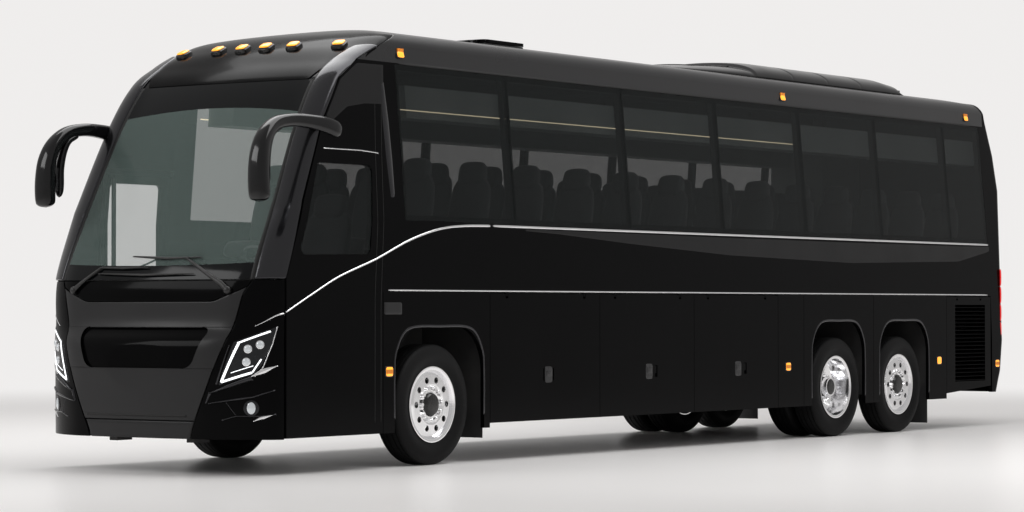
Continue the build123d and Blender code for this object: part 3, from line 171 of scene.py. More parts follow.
def pattern(material, kind, stretch=(1.0, 1.0, 1.0), **values):
    """Noise or voronoi pattern on the object's own coordinates."""
    spread = node(material, "Mapping", Scale=stretch)
    made = node(material, kind, **values)
    wire(material, node(material, "TexCoord"), "Object", spread, "Vector")
    wire(material, spread, "Vector", made, "Vector")
    return made


def grain(material, scale, low, high, detail=3.0):
    """Cloudy noise that moves the roughness between low and high."""
    noise = pattern(material, "TexNoise", Scale=scale, Detail=detail)
    levels = node(material, "MapRange", From_Min=0.3, From_Max=0.7, To_Min=low, To_Max=high)
    wire(material, noise, "Fac", levels, "Value")
    wire(material, levels, "Result", base(material), "Roughness")


def tint(material, scale, dark, light):
    """Slow noise that moves the base colour between two shades."""
    noise = pattern(material, "TexNoise", Scale=scale, Detail=4.0)
    shades = node(material, "ValToRGB")
    for stop, position, colour in zip(shades.color_ramp.elements, (0.3, 0.7), (dark, light)):
        stop.position = position
        stop.color = (*colour, 1.0)
    wire(material, noise, "Fac", shades, "Fac")
    wire(material, shades, "Color", base(material), "Base Color")


def relief(material, scale, strength, distance, kind="TexNoise", stretch=(1.0, 1.0, 1.0)):
    """Fine bump from a noise or voronoi pattern."""
    bump = node(material, "Bump", Strength=strength, Distance=distance)
    wire(material, pattern(material, kind, stretch, Scale=scale), 0, bump, "Height")
    wire(material, bump, "Normal", base(material), "Normal")


# To the camera the floor turns into the surround between two distances from the middle.
floor_reach, fade_from, fade_to = 60.0, 9.0, 24.0
floor_paint = shader("floor_paint", (0.90, 0.885, 0.875), 0.30, Specular_IOR_Level=0.40)
grain(floor_paint, 0.2, 0.29, 0.33, 1.0)
reach = node(floor_paint, "VectorMath", {"operation": "LENGTH"})
fading = node(floor_paint, "MapRange", {"interpolation_type": "SMOOTHSTEP"}, From_Min=fade_from,
              From_Max=fade_to)
share = node(floor_paint, "Math", {"operation": "MULTIPLY"})
blend = node(floor_paint, "MixShader")
wire(floor_paint, node(floor_paint, "TexCoord"), "Object", reach, 0)
wire(floor_paint, reach, "Value", fading, "Value")
wire(floor_paint, fading, "Result", share, 0)
wire(floor_paint, node(floor_paint, "LightPath"), "Is Camera Ray", share, 1)
wire(floor_paint, share, "Value", blend, 0)
wire(floor_paint, base(floor_paint), "BSDF", blend, 1)
wire(floor_paint, node(floor_paint, "Emission", Color=surround, Strength=1.0), "Emission", blend, 2)
wire(floor_paint, blend, "Shader", floor_paint.node_tree.nodes["Material Output"], "Surface")
corner_x, corner_y = np.meshgrid((-floor_reach, floor_reach), (-floor_reach, floor_reach), indexing="ij")
floor = piece("floor", [(np.stack([corner_x, corner_y, np.zeros_like(corner_x)], axis=-1), 0)], [floor_paint])


def softbox(name, place, aim, size, power):
    """Rectangular area lamp at a place, facing another."""
    lamp = bpy.data.lights.new(name, "AREA")
    lamp.shape = "RECTANGLE"
    lamp.size, lamp.size_y = size
    lamp.energy = power
    made = bpy.data.objects.new(name, lamp)
    bpy.context.scene.collection.objects.link(made)
    made.location = place
    towards = np.subtract(aim, place)
    yaw = math.atan2(towards[0], -towards[1])
    tilt = math.atan2(math.hypot(towards[0], towards[1]), -towards[2])
    made.rotation_euler = (tilt, 0.0, math.pi + yaw)


softbox("overhead", (1.0, -1.0, 11.0), (0.0, -1.0, 0.0), (9.0, 18.0), 1650.0)
softbox("nose_key", (-7.0, -16.0, 8.0), (0.0, -6.0, 2.0), (6.0, 5.0), 420.0)

# ------------------------------------------------------------------ chassis frame, axles and floors
# Steel frame, axles and air bellows under a dark deck. The steel is painted satin black and varies a
# little in shade; the bay linings are pebbled grey sheet, and the bellows are ribbed rubber.
chassis_paint = shader("chassis_paint", (0.018, 0.018, 0.019), 0.6)
tint(chassis_paint, 3.0, (0.012, 0.012, 0.013), (0.035, 0.034, 0.033))
relief(chassis_paint, 90.0, 0.25, 0.002)
bay_sheet = shader("bay_sheet", (0.12, 0.12, 0.125), 0.5)
tint(bay_sheet, 1.2, (0.09, 0.09, 0.095), (0.15, 0.15, 0.155))
relief(bay_sheet, 8.0, 0.4, 0.004, "TexVoronoi")
deck_sheet = shader("deck_sheet", (0.05, 0.05, 0.052), 0.7)
tint(deck_sheet, 2.0, (0.04, 0.04, 0.042), (0.065, 0.064, 0.062))
relief(deck_sheet, 60.0, 0.3, 0.002)
bellows_rubber = shader("bellows_rubber", (0.014, 0.014, 0.014), 0.75)
relief(bellows_rubber, 14.0, 0.5, 0.006, stretch=(0.1, 0.1, 1.0))


def dress(finish, *names):
    """One finish for every slot of the named solids."""
    for name in names:
        for part_slot in nodes[name].material_slots:
            part_slot.material = finish


dress(chassis_paint, "chassis_frame", "front_axle_beam", "knuckle_left", "knuckle_right", "tie_rod",
      "drive_axle", "tag_axle_beam", "engine_block", "wheel_housings")
dress(bay_sheet, "luggage_bays")
dress(deck_sheet, "floor_deck")
dress(bellows_rubber, "air_springs")

# ------------------------------------------------------------------ tyres
# Tyres 1.05 m tall: a bulged sidewall with a low ring near the bead, a round shoulder and a tread with
# four grooves and fine cross cuts. Each is one closed ring, turned about its axle.
tyre_rubber = shader("tyre_rubber", (0.0045, 0.0045, 0.0048), 0.6, Specular_IOR_Level=0.14)
ring_map = node(tyre_rubber, "UVMap")
ring_map.uv_map = "surface"
cuts = node(tyre_rubber, "TexWave", {"wave_type": "BANDS", "bands_direction": "X", "wave_profile": "SAW"},
            Scale=1.0)
rub = node(tyre_rubber, "TexNoise", Scale=140.0, Detail=4.0)
cut_bump = node(tyre_rubber, "Bump", Strength=0.35, Distance=0.003)
rub_bump = node(tyre_rubber, "Bump", Strength=0.15, Distance=0.001)
wire(tyre_rubber, ring_map, "UV", cuts, "Vector")
wire(tyre_rubber, node(tyre_rubber, "TexCoord"), "Object", rub, "Vector")
wire(tyre_rubber, cuts, "Fac", cut_bump, "Height")
wire(tyre_rubber, rub, "Fac", rub_bump, "Height")
wire(tyre_rubber, cut_bump, "Normal", rub_bump, "Normal")
wire(tyre_rubber, rub_bump, "Normal", base(tyre_rubber), "Normal")


def smooth_line(corners, per_span):
    """Catmull-Rom curve through an open row of corners: each span is the cubic that leaves and arrives
    along the chord of its neighbours."""
    corners = np.asarray(corners, float)
    padded = np.concatenate([2 * corners[:1] - corners[1:2], corners, 2 * corners[-1:] - corners[-2:-1]])
    t = np.linspace(0.0, 1.0, per_span, endpoint=False)[None, :, None]
    a, b, c, d = (padded[k:len(corners) - 1 + k, None, :] for k in range(4))
    square, cube = 2 * a - 5 * b + 4 * c - d, 3 * b - a - 3 * c + d
    curve = 0.5 * (2 * b + (c - a) * t + square * t ** 2 + cube * t ** 3)
    return np.concatenate([curve.reshape(-1, corners.shape[1]), corners[-1:]])


def turned(profile, axle_y, segments):
    """Surface of revolution about a wheel axle: profile rows are (x, radius), columns go round the axle."""
    angle = np.linspace(0.0, 2 * np.pi, segments, endpoint=False)
    x = np.repeat(profile[:, :1], segments, axis=1)
    radius = profile[:, 1:2]
    return np.stack([x, axle_y + radius * np.cos(angle), axle_z + radius * np.sin(angle)], axis=-1)


# x from the middle of the tread, radius
wall_half = smooth_line([(0.0995, 0.3125), (0.1075, 0.330), (0.1160, 0.348), (0.1175, 0.352), (0.1235, 0.366),
                         (0.1320, 0.385), (0.1390, 0.408), (0.1415, 0.430), (0.1390, 0.455), (0.1320, 0.480),
                         (0.1250, 0.498), (0.1160, 0.5115), (0.1040, 0.5205), (0.0950, 0.5232)], 3)
grooves = [(0.0950, 0.5232), (0.0820, 0.5238), (0.0790, 0.5120), (0.0730, 0.5120), (0.0700, 0.5242),
           (0.0360, 0.5248), (0.0330, 0.5120), (0.0260, 0.5120), (0.0230, 0.5250), (0.0, 0.5250)]
half_section = np.concatenate([wall_half[:-1], np.array(grooves)])
tyre_section = np.concatenate([half_section, half_section[-2::-1] * (-1.0, 1.0)])
outer_tyre_x, inner_tyre_x = 1.1085, 0.7785
around, cuts_round, cuts_across = 144, 8.0, 14.0


def tyre(name, axle_y, centres, node_name, body):
    """Tyre or pair of tyres of one hub, round their axle."""
    patches = []
    for x in centres:
        section = tyre_section + (x, 0.0)
        points = turned(section[::-1], axle_y, around)
        closed = np.concatenate([points, points[:1]])
        u, v = np.meshgrid(np.arange(len(closed)) / len(closed), np.arange(around) / around * cuts_round,
                           indexing="ij")
        patches.append((closed, 0, True, np.stack([v * cuts_across, u], axis=-1)))
    made = piece(name, patches, [tyre_rubber])
    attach(made, body)
    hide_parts(node_name)


for side, hand in ((1, "left"), (-1, "right")):
    outer, inner = side * outer_tyre_x, side * inner_tyre_x
    tyre(f"front_tread_{hand}", front_axle_y, [outer], f"front_tyre_{hand}", f"front_wheel_{hand}")
    tyre(f"tag_tread_{hand}", tag_axle_y, [outer], f"tag_tyre_{hand}", f"tag_wheel_{hand}")
    tyre(f"drive_tread_{hand}", drive_axle_y, [outer, inner], f"drive_tyres_{hand}", f"drive_wheels_{hand}")

# ------------------------------------------------------------------ painted body
# Panels in deep gloss black under clear lacquer, parted by narrow shut lines. The roof is a duller,
# faintly metallic black, lighter than the panels: a painted highlight along the roof edge.
body_paint = shader("body_paint", (0.0018, 0.0018, 0.0020), 0.14, Specular_IOR_Level=0.03, Coat_Weight=0.06,
                    Coat_Roughness=0.04, Coat_IOR=1.35)
grain(body_paint, 1.3, 0.10, 0.20)
dress(body_paint, "left_side_wall", "right_side_wall", "left_cab_side", "right_cab_side", "side_panels",
      "entrance_door", "rear_cap", "engine_door", "rear_bumper", "front_hatch", "rear_hatch", "radiator_door",
      *(f"bay_door_{hand}_{number}" for hand in ("left", "right") for number in (1, 2, 3)))
# Lighter and more reflective than the body paint: painted highlight along the roof's cove.
roof_paint_painted_highlight = shader("roof_paint_painted_highlight", (0.010, 0.010, 0.011), 0.3, metallic=0.3, Specular_IOR_Level=0.4,
                    Coat_Weight=0.3, Coat_Roughness=0.12)
grain(roof_paint_painted_highlight, 1.1, 0.26, 0.36)
dress(roof_paint_painted_highlight, "roof_shell")

# ------------------------------------------------------------------ side and door glass
# Panes of dark tinted safety glass along both sides, fixed to the body, and a clearer pane that swings
# with the entrance door.
side_tint = shader("side_tint", (0.006, 0.008, 0.008), 0.03, Specular_IOR_Level=0.18, Alpha=0.50)
grain(side_tint, 1.0, 0.02, 0.05)
door_tint = shader("door_tint", (0.02, 0.03, 0.028), 0.03, Specular_IOR_Level=0.4, Alpha=0.22)
grain(door_tint, 1.0, 0.02, 0.05)
dress(side_tint, "side_glass")
dress(door_tint, "entrance_glass")

# ------------------------------------------------------------------ nose form
# Hood, windscreen, pillars and roof dome follow one smooth form. In plan it is a slack arc in the middle,
# a bowed chord to each corner and a straight flank, and it leans back more and more towards the roof.
half_width, belt_z, drip_z, lean = 1.275, 2.100, 3.470, 0.120
flank_end = -0.470
row_pitch = 0.01
nose_limit = -2.4555
table_steps = 240
corner_bow = 0.07
# z, centre y, knuckle x, knuckle y, corner y (y from the front axle)
nose_levels = np.array([
    (0.300, -2.425, 0.720, -2.385, -2.080), (0.620, -2.452, 0.720, -2.405, -2.080),
    (1.040, -2.460, 0.740, -2.405, -2.080), (1.230, -2.345, 0.830, -2.300, -2.080),
    (1.600, -2.290, 0.890, -2.245, -2.065), (2.100, -2.033, 0.920, -1.985, -1.883),
    (2.250, -1.955, 0.925, -1.905, -1.825), (2.900, -1.605, 0.900, -1.570, -1.515),
    (3.290, -1.340, 0.880, -1.305, -1.250), (3.470, -1.130, 0.880, -1.080, -0.985),
    (3.610, -0.930, 0.880, -0.840, -0.680), (3.740, -0.600, 0.860, -0.500, -0.330),
    (3.852, 0.060, 0.700, 0.110, 0.240)])
heights = np.arange(nose_levels[0, 0], nose_levels[-1, 0], row_pitch)


def read(line, at):
    """Value of a row of (place, value) corners at the given places."""
    return np.interp(at, line[:, 0], line[:, 1])


def flank_x(z):
    """Half width of the body: upright below the belt, then leaning in evenly up to the drip line."""
    return half_width - lean * np.clip((z - belt_z) / (drip_z - belt_z), 0.0, 1.0)


def nose_plans(levels, rounding):
    """Half plans of the nose, one row per height. The centre arc is y = c + (k - c) t^2 out to the
    knuckle, then comes a bowed chord to the corner and a straight flank. A bell-shaped average of
    the given width in points along each row rounds the two bends."""
    z, centre, knee_x, knee_y, corner_y = (levels[:, k:k + 1] for k in range(5))
    half = flank_x(z)
    t = np.linspace(0.0, 1.0, 60, endpoint=False)[None]
    bow = corner_bow * 4.0 * t * (1.0 - t)
    run_x, run_y = half - knee_x, corner_y - knee_y
    x = np.concatenate([knee_x * t, knee_x + run_x * t + run_y * bow, half + 0.0 * t], axis=1)
    end = np.maximum(flank_end, corner_y + 0.05)
    y = np.concatenate([centre + (knee_y - centre) * t ** 2, knee_y + run_y * t - run_x * bow,
                        corner_y + (end - corner_y) * t], axis=1)
    if rounding:
        reach = 3 * rounding
        taps = np.exp(-0.5 * (np.arange(-reach, reach + 1) / rounding) ** 2)
        taps /= taps.sum()
        on = np.arange(1, reach + 1)[None]
        far_x = x[:, -1:] + 0.0 * on
        far_y = y[:, -1:] + (y[:, -1:] - y[:, -2:-1]) * on
        wide_x = np.concatenate([-x[:, reach:0:-1], x, far_x], axis=1)
        wide_y = np.concatenate([y[:, reach:0:-1], y, far_y], axis=1)
        x = sum(tap * wide_x[:, k:k + x.shape[1]] for k, tap in enumerate(taps))
        y = sum(tap * wide_y[:, k:k + y.shape[1]] for k, tap in enumerate(taps))
    return x, y


rounded_levels = smooth_line(nose_levels, 12)
level_rows = np.stack([np.interp(heights, rounded_levels[:, 0], rounded_levels[:, k]) for k in range(5)],
                      axis=1)
plan_x, plan_y = nose_plans(level_rows, 5)
plan_y = np.maximum(plan_y, nose_limit)
flat_rows = np.stack([np.interp(heights, nose_levels[:, 0], nose_levels[:, k]) for k in range(5)], axis=1)
panel_x, panel_y = nose_plans(flat_rows, 0)
shares = np.linspace(0.0, 1.0, table_steps + 1)
depth_table = np.stack([np.interp(shares * flank_x(z), x, y) for z, x, y in zip(heights, plan_x, plan_y)])
back_from, back_to = -2.10, flank_end
backs = np.linspace(back_from, back_to, table_steps + 1)
width_table = np.stack([np.interp(backs, y, x) for x, y in zip(panel_x, panel_y)])


def between(table, row, col):
    """Value of a table at fractional rows and columns, in proportion to the four nearest entries."""
    row = np.clip(row, 0.0, table.shape[0] - 1.001)
    col = np.clip(col, 0.0, table.shape[1] - 1.001)
    i, j = row.astype(int), col.astype(int)
    a, b = row - i, col - j
    return ((1 - a) * ((1 - b) * table[i, j] + b * table[i, j + 1])
            + a * ((1 - b) * table[i + 1, j] + b * table[i + 1, j + 1]))


def front(x, z):
    """Place on the rounded nose at x and height z, as seen from ahead."""
    x, z = np.broadcast_arrays(np.asarray(x, float), np.asarray(z, float))
    y = between(depth_table, (z - heights[0]) / row_pitch, np.abs(x) / flank_x(z) * table_steps)
    return np.stack([x, y + front_axle_y, z], axis=-1)


def beside(hand, y, z):
    """Place on the flat-sided panels at y from the front axle and height z, as seen from one side."""
    y, z = np.broadcast_arrays(np.asarray(y, float), np.asarray(z, float))
    x = between(width_table, (z - heights[0]) / row_pitch,
                (y - back_from) / (back_to - back_from) * table_steps)
    x = np.where((y > flank_end) | (z < heights[0]), flank_x(z), x)
    return np.stack([hand * x, y + front_axle_y, z], axis=-1)


def shell(z, start, end, across):
    """Strip of the rounded nose: each row is one height, and its columns divide the plan there between
    the two places start and end, which are counted along the plan."""
    where = start[:, None] + (end - start)[:, None] * across[None]
    row = (z[:, None] - heights[0]) / row_pitch + 0.0 * where
    y = between(plan_y, row, where) + front_axle_y
    return np.stack([between(plan_x, row, where), y, z[:, None] + 0 * where], axis=-1)


def plan_place(z, x=None, y=None):
    """How far along the plan at each height the given x, or the given y from the front axle, is met."""
    rows = (np.clip(z, heights[0], heights[-1] - 0.001) - heights[0]) / row_pitch
    table, wanted = (plan_x, x) if x is not None else (plan_y, y)
    count = np.arange(plan_x.shape[1])
    line = [table[int(r)] * (1 - r % 1) + table[min(int(r) + 1, len(table) - 1)] * (r % 1) for r in rows]
    return np.array([np.interp(w, values, count) for w, values in zip(wanted, line)])


def normals(points):
    """Unit normals of a grid of points: the cross product of its two directions, turned away from the
    body's middle."""
    along, over = np.gradient(points, axis=0), np.gradient(points, axis=1)
    n = np.cross(along, over)
    n /= np.linalg.norm(n, axis=-1, keepdims=True) + 1e-12
    centre = np.array([0.0, np.clip(points[..., 1].mean(), front_axle_y + 0.3, 99.0), 1.9])
    outward = ((points - centre) * n).sum()
    return n if outward > 0 else -n


def steps(count, edge):
    """Numbers from 0 to 1: even steps in the middle and finer ones within the given share of either end."""
    rim = edge * np.array([0.0, 0.08, 0.25, 0.55])
    return np.concatenate([rim, np.linspace(edge, 1.0 - edge, count), 1.0 - rim[::-1]])


def eased(points, radius, lift=0.0):
    """Panel whose rim is rounded over: near an edge the surface drops by r - sqrt(r^2 - (r - d)^2),
    where d is the distance from that edge; lift raises the whole panel."""
    down = np.linalg.norm(np.diff(points, axis=0), axis=-1)
    over = np.linalg.norm(np.diff(points, axis=1), axis=-1)
    rows = np.concatenate([np.zeros((1, points.shape[1])), np.cumsum(down, axis=0)])
    cols = np.concatenate([np.zeros((points.shape[0], 1)), np.cumsum(over, axis=1)], axis=1)
    far = np.minimum(np.minimum(rows, rows[-1:] - rows), np.minimum(cols, cols[:, -1:] - cols))
    near = np.clip(radius - far, 0.0, radius)
    drop = radius - np.sqrt(radius ** 2 - near ** 2)
    return points + normals(points) * (lift - drop)[..., None]


def facing(points):
    """The same grid, with its columns turned round if its quads would face into the body."""
    along, over = np.gradient(points, axis=0), np.gradient(points, axis=1)
    raw = np.cross(over, along)
    return points if (raw * normals(points)).sum() > 0 else points[:, ::-1]


def thick(made, depth):
    """Wall of the given depth behind a panel's surface."""
    wall = made.modifiers.new("wall", "SOLIDIFY")
    wall.thickness = depth
    wall.offset = -1.0
    return made


def ride(made, slot, *replaced, body="coach_body"):
    """Fixes a piece to its body and hides the nodes that it stands for. The slot is not used."""
    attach(made, body)
    if replaced:
        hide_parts(*replaced)
    return made


# ------------------------------------------------------------------ windscreen
# One pane in a black rubber gasket. A black ceramic band runs along its foot and across its head, and the
# clear part between them is faintly green glass, with a pale grey-green painted reflection laid into it.
# Pale grey-green and mostly opaque: painted reflection over the glass.
screen_glass_painted_sheen = shader("screen_glass_painted_sheen", (0.27, 0.36, 0.335), 0.02, Specular_IOR_Level=0.5, Alpha=0.27)
grain(screen_glass_painted_sheen, 0.8, 0.015, 0.035)
ceramic = shader("ceramic", (0.003, 0.0035, 0.004), 0.08, Specular_IOR_Level=0.16)
grain(ceramic, 2.0, 0.06, 0.12)
gasket_rubber = shader("gasket_rubber", (0.008, 0.008, 0.008), 0.5, Specular_IOR_Level=0.3)
relief(gasket_rubber, 120.0, 0.6, 0.002, "TexVoronoi")
# z, x of the edge of the windscreen's opening
screen_edge = np.array([(1.600, 1.060), (2.100, 1.045), (2.250, 1.040), (2.900, 0.995), (3.290, 0.965)])
clear_foot, clear_head, screen_top = 1.735, 3.055, 3.286
screen_foot, gasket = 1.600, 0.028


def screen_part(low, high, rows):
    """Part of the windscreen between two edges, each given as its height at the sides and its rise in
    the middle."""
    u = np.linspace(-1.0, 1.0, 70)[None]
    v = np.linspace(0.0, 1.0, rows)[:, None]
    z = low[0] + (high[0] - low[0]) * v + (low[1] * (1 - v) + high[1] * v) * (1.0 - u ** 2)
    return facing(front((read(screen_edge, z) - gasket) * u, z))


foot_line, head_line = (clear_foot, -0.02), (clear_head - 0.05, 0.06)
patches = [(screen_part((screen_foot, 0.0), foot_line, 6), 1),
           (screen_part(foot_line, head_line, 60), 0),
           (screen_part(head_line, (screen_top, 0.0), 14), 1)]
brow_z, brow_s = np.linspace(3.25, 3.50, 12)[:, None], np.linspace(-1.0, 1.0, 40)[None]
under_brow = front(1.02 * brow_s + 0.0 * brow_z, brow_z)
patches.append((facing(under_brow - normals(under_brow) * 0.008), 1))
for hand in (1, -1):
    z = np.linspace(screen_foot, screen_top, 70)[:, None]
    s = np.linspace(0.0, 1.0, 5)[None]
    rim = front(hand * (read(screen_edge, z) - gasket + s * (gasket + 0.006)), z)
    patches.append((facing(rim + normals(rim) * 0.004 * np.sin(np.pi * s)[..., None]), 2))
screen = piece("windscreen_pane", patches, [screen_glass_painted_sheen, ceramic, gasket_rubber])
ride(screen, "tinted_glass", "windscreen")

# ------------------------------------------------------------------ pillar hoops
# A moulded hoop frames the windscreen on each side and runs up into the roof edge. It is satin graphite,
# lighter and more metallic than the body's black as a painted highlight along its round; it is raised
# and rounded across, and ends at a shut line along the cab side.
# Lighter and more metallic than the body's black: painted highlight.
graphite_painted_highlight = shader("graphite_painted_highlight", (0.026, 0.026, 0.029), 0.2, metallic=0.8, Specular_IOR_Level=0.4,
                    Coat_Weight=0.35, Coat_Roughness=0.08)
grain(graphite_painted_highlight, 2.0, 0.16, 0.26)
# z, y from the front axle, of the rear edge of the hoop
cheek_edge = np.array([(0.290, -2.040), (1.230, -2.040), (1.600, -2.010), (2.100, -1.856), (2.250, -1.800),
                       (2.900, -1.490), (3.290, -1.225), (3.470, -0.960), (3.610, -0.650)])
# z, x of the edge of the hoop along the windscreen
hoop_front = np.array([(1.600, 1.066), (2.100, 1.051), (2.250, 1.046), (2.900, 1.001), (3.290, 0.971),
                       (3.450, 0.965), (3.560, 0.985), (3.610, 1.010)])
shut_gap = 0.004
z = screen_foot + 2.0 * steps(90, 0.01)
s = steps(14, 0.12)
inner = plan_place(z, x=read(hoop_front, z))
outer = plan_place(z, y=read(cheek_edge, z) - shut_gap)
patches = []
for hand in (1, -1):
    strip = shell(z, inner, outer, s) * (hand, 1.0, 1.0)
    raised = eased(strip, 0.012, 0.006) + normals(strip) * (0.012 * np.sin(np.pi * s) ** 0.7)[None, :, None]
    patches.append((facing(raised), 0))
hoops = thick(piece("pillar_hoops", patches, [graphite_painted_highlight]), 0.02)
ride(hoops, "body_paint")

# ------------------------------------------------------------------ roof dome
# The moulded front end of the roof, from the windscreen's head up to the first roof seam, in the body's
# gloss black. It is the nose form and the roof's arc, rounded into one another where they meet.
cove_x, cove_z, crown_z, cove_foot_z = 1.000, 3.735, 3.850, 3.560
# z, y from the front axle, of the first roof seam
roof_seam = np.array([(3.470, -0.960), (3.610, -0.650), (3.740, -0.300), (3.852, 0.290)])


def roof_z(x):
    """Height of the roof across the body: a slack arc between the coves, then a quarter ellipse down
    to the drip."""
    x = np.abs(x)
    crown = crown_z - (crown_z - cove_z) * (x / cove_x) ** 2
    over = np.clip((x - cove_x) / (half_width - lean - cove_x), 0.0, 1.0)
    quarter = np.sqrt(np.clip(1.0 - over ** 2, 0.0, 1.0))
    return np.where(x < cove_x, crown, cove_foot_z + (cove_z - cove_foot_z) * quarter)


u = np.sin(np.linspace(-np.pi / 2, np.pi / 2, 121))
dome_x = u * (half_width - lean - 0.001)
foot_z = np.interp(np.abs(dome_x), [0.0, 0.90, 1.0, 1.155],
                   [screen_top + 0.006, screen_top + 0.006, 3.44, 3.47])
tail_y = read(roof_seam, roof_z(dome_x))
sample_z = heights[heights > 3.2]
over_z = []
foot_y = front(dome_x, foot_z)[:, 1] - front_axle_y
v = np.concatenate([[0.0, 0.004, 0.012], np.linspace(0.02, 1.0, 70)])
dome_y = foot_y[None] + (tail_y - foot_y)[None] * v[:, None]
for k, x in enumerate(dome_x):
    nose_y = front(np.full(len(sample_z), x), sample_z)[:, 1] - front_axle_y
    over_z.append(np.interp(dome_y[:, k], nose_y, sample_z))
nose_z = np.stack(over_z, axis=1)
top_z = roof_z(dome_x)[None] + 0.0 * nose_z
# The lower of the two heights, by -r ln(e^(-a/r) + e^(-b/r)); both exponents are shifted to stay within
# range.
round_off, shift = 0.012, 300.0
dome_z = np.log(np.exp(-nose_z / round_off + shift) + np.exp(-top_z / round_off + shift))
dome_z = np.maximum(-round_off * dome_z + shift * round_off, foot_z[None] - 0.01)
dome_grid = np.stack([dome_x[None] + 0.0 * dome_y, dome_y + front_axle_y, dome_z], axis=-1)
roof_dome = thick(piece("roof_dome", [(facing(dome_grid), 0)], [body_paint]), 0.012)
ride(roof_dome, "body_paint", "front_cap")

# ------------------------------------------------------------------ lower nose panels
# A satin bumper and hood moulding with a recessed gloss grille plate, and gloss corner panels that run
# round to the cab sides. They meet at narrow shut lines, and a rubber surface behind them closes the
# gaps. The satin black is lighter than the body's: painted light from the overhead lamp on the hood.
# Lighter base colour than the body paint: painted light on the upward-facing hood.
satin_paint_painted_light = shader("satin_paint_painted_light", (0.016, 0.016, 0.0168), 0.34, Specular_IOR_Level=0.22, Coat_Weight=0.06,
                    Coat_Roughness=0.25)
grain(satin_paint_painted_light, 2.0, 0.30, 0.42)
# z, x of the shut line beside the middle panel
panel_edge = np.array([(0.290, 0.553), (0.385, 0.583), (0.693, 0.722), (1.059, 0.872), (1.488, 0.990),
                       (1.600, 1.056)])
grille_low, grille_high, grille_round = 0.870, 1.204, 0.070


def panel_half(z):
    """Half width of the middle panel at a height."""
    return read(panel_edge, z)


def grille_half(z):
    """Half width of the grille's opening: a leaning line whose corners are quarter circles."""
    side = 0.580 + 0.135 * (z - grille_low) / (grille_high - grille_low)
    near = np.minimum(z - grille_low, grille_high - z)
    d = np.clip(grille_round - near, 0.0, grille_round)
    return side - (grille_round - np.sqrt(np.maximum(grille_round ** 2 - d ** 2, 0.0)))


def cowl_z(x):
    """Height of the hood's upper edge: level in the middle and rising to the sides."""
    return np.interp(np.abs(x), [0.0, 0.69, 0.73, 0.94, 1.09], [1.418, 1.418, 1.426, 1.505, 1.575])


def wide_patch(low, high, count):
    """Part of the middle panel between two lines low(x) and high(x)."""
    u = (2.0 * steps(61, 0.02) - 1.0)[None]
    v = steps(count, 0.08)[:, None]
    x = u * panel_half(1.2) + 0.0 * v
    for _ in range(3):
        z = low(x) + (high(x) - low(x)) * v
        x = u * (panel_half(z) - shut_gap)
    return front(x, z)


def level(value):
    """Line of one height."""
    return lambda x: value + 0.0 * x


patches = [(facing(eased(wide_patch(level(0.292), level(0.438), 5), 0.016)), 0),
           (facing(eased(wide_patch(level(0.443), level(grille_low), 14), 0.005)), 0),
           (facing(eased(wide_patch(level(grille_high), lambda x: cowl_z(x) - 0.004, 8), 0.005)), 0),
           (facing(eased(wide_patch(lambda x: cowl_z(x) + 0.003, level(1.594), 6), 0.006, -0.006)), 1)]
z = grille_low + (grille_high - grille_low) * (0.5 - 0.5 * np.cos(np.linspace(0.0, np.pi, 41)))
for hand in (1, -1):
    s = np.concatenate([[0.0, 0.01, 0.04], np.linspace(0.1, 0.9, 8), [0.96, 0.985, 1.0]])[None]
    x = grille_half(z)[:, None] * (1 - s) + (panel_half(z)[:, None] - shut_gap) * s
    patches.append((facing(front(hand * x, z[:, None])), 0))
lip_z = np.concatenate([z, z[::-1]])
lip_x = np.concatenate([grille_half(z), -grille_half(z)[::-1]])
rim = front(lip_x, lip_z)
inward = np.array([0.0, 1.0, 0.0])
fall = np.array([0.0, 0.003, 0.012, 0.030])[:, None, None]
squeeze = np.array([0.0, 0.002, 0.003, 0.003])[:, None]
wall = front(lip_x[None] - np.sign(lip_x)[None] * squeeze, lip_z[None] + 0.0 * squeeze) + fall * inward
patches.append((wall, 1, True))
u = (2.0 * steps(40, 0.03) - 1.0)[None]
grille_plate = front(u * (grille_half(z)[:, None] - 0.001), z[:, None]) + 0.024 * inward
patches.append((facing(grille_plate), 1))
back_z, back_s = np.linspace(0.293, 1.62, 40)[:, None], np.linspace(-1.0, 1.0, 60)[None]
backing = front(1.17 * back_s + 0.0 * back_z, back_z)
patches.append((facing(backing - normals(backing) * 0.036), 2))
# A dark rubber strip across the bumper stands for the shade inside its slot: painted shade.
painted_slot_shade_z = 0.480 + np.array([[-0.009], [0.0], [0.009]])
patches.append((facing(front(0.56 * back_s - 0.03, painted_slot_shade_z) + (0.0, -0.0015, 0.0)), 2))
bumper = thick(piece("nose_moulding", patches, [satin_paint_painted_light, body_paint, gasket_rubber]), 0.006)
ride(bumper, "body_paint", "front_panel", "front_grille")

z = 0.292 + 1.302 * steps(60, 0.01)
start = plan_place(z, x=panel_half(z) + shut_gap)
end = plan_place(z, y=read(cheek_edge, z) - shut_gap)
corner = shell(z, start, end, steps(40, 0.03))
patches = [(facing(eased(corner * (hand, 1.0, 1.0), 0.006)), 0) for hand in (1, -1)]
corners = thick(piece("corner_mouldings", patches, [body_paint]), 0.006)
ride(corners, "body_paint", "corner_panels")


def resample(line, count):
    """Points at even distances along a polyline."""
    line = np.asarray(line, float)
    run = np.concatenate([[0.0], np.cumsum(np.linalg.norm(np.diff(line, axis=0), axis=1))])
    even = np.linspace(0.0, run[-1], count)
    return np.stack([np.interp(even, run, line[:, k]) for k in range(2)], axis=-1)


def from_ends(count):
    """Steps from each point of a row to its nearer end."""
    return np.minimum(np.arange(count), np.arange(count)[::-1])


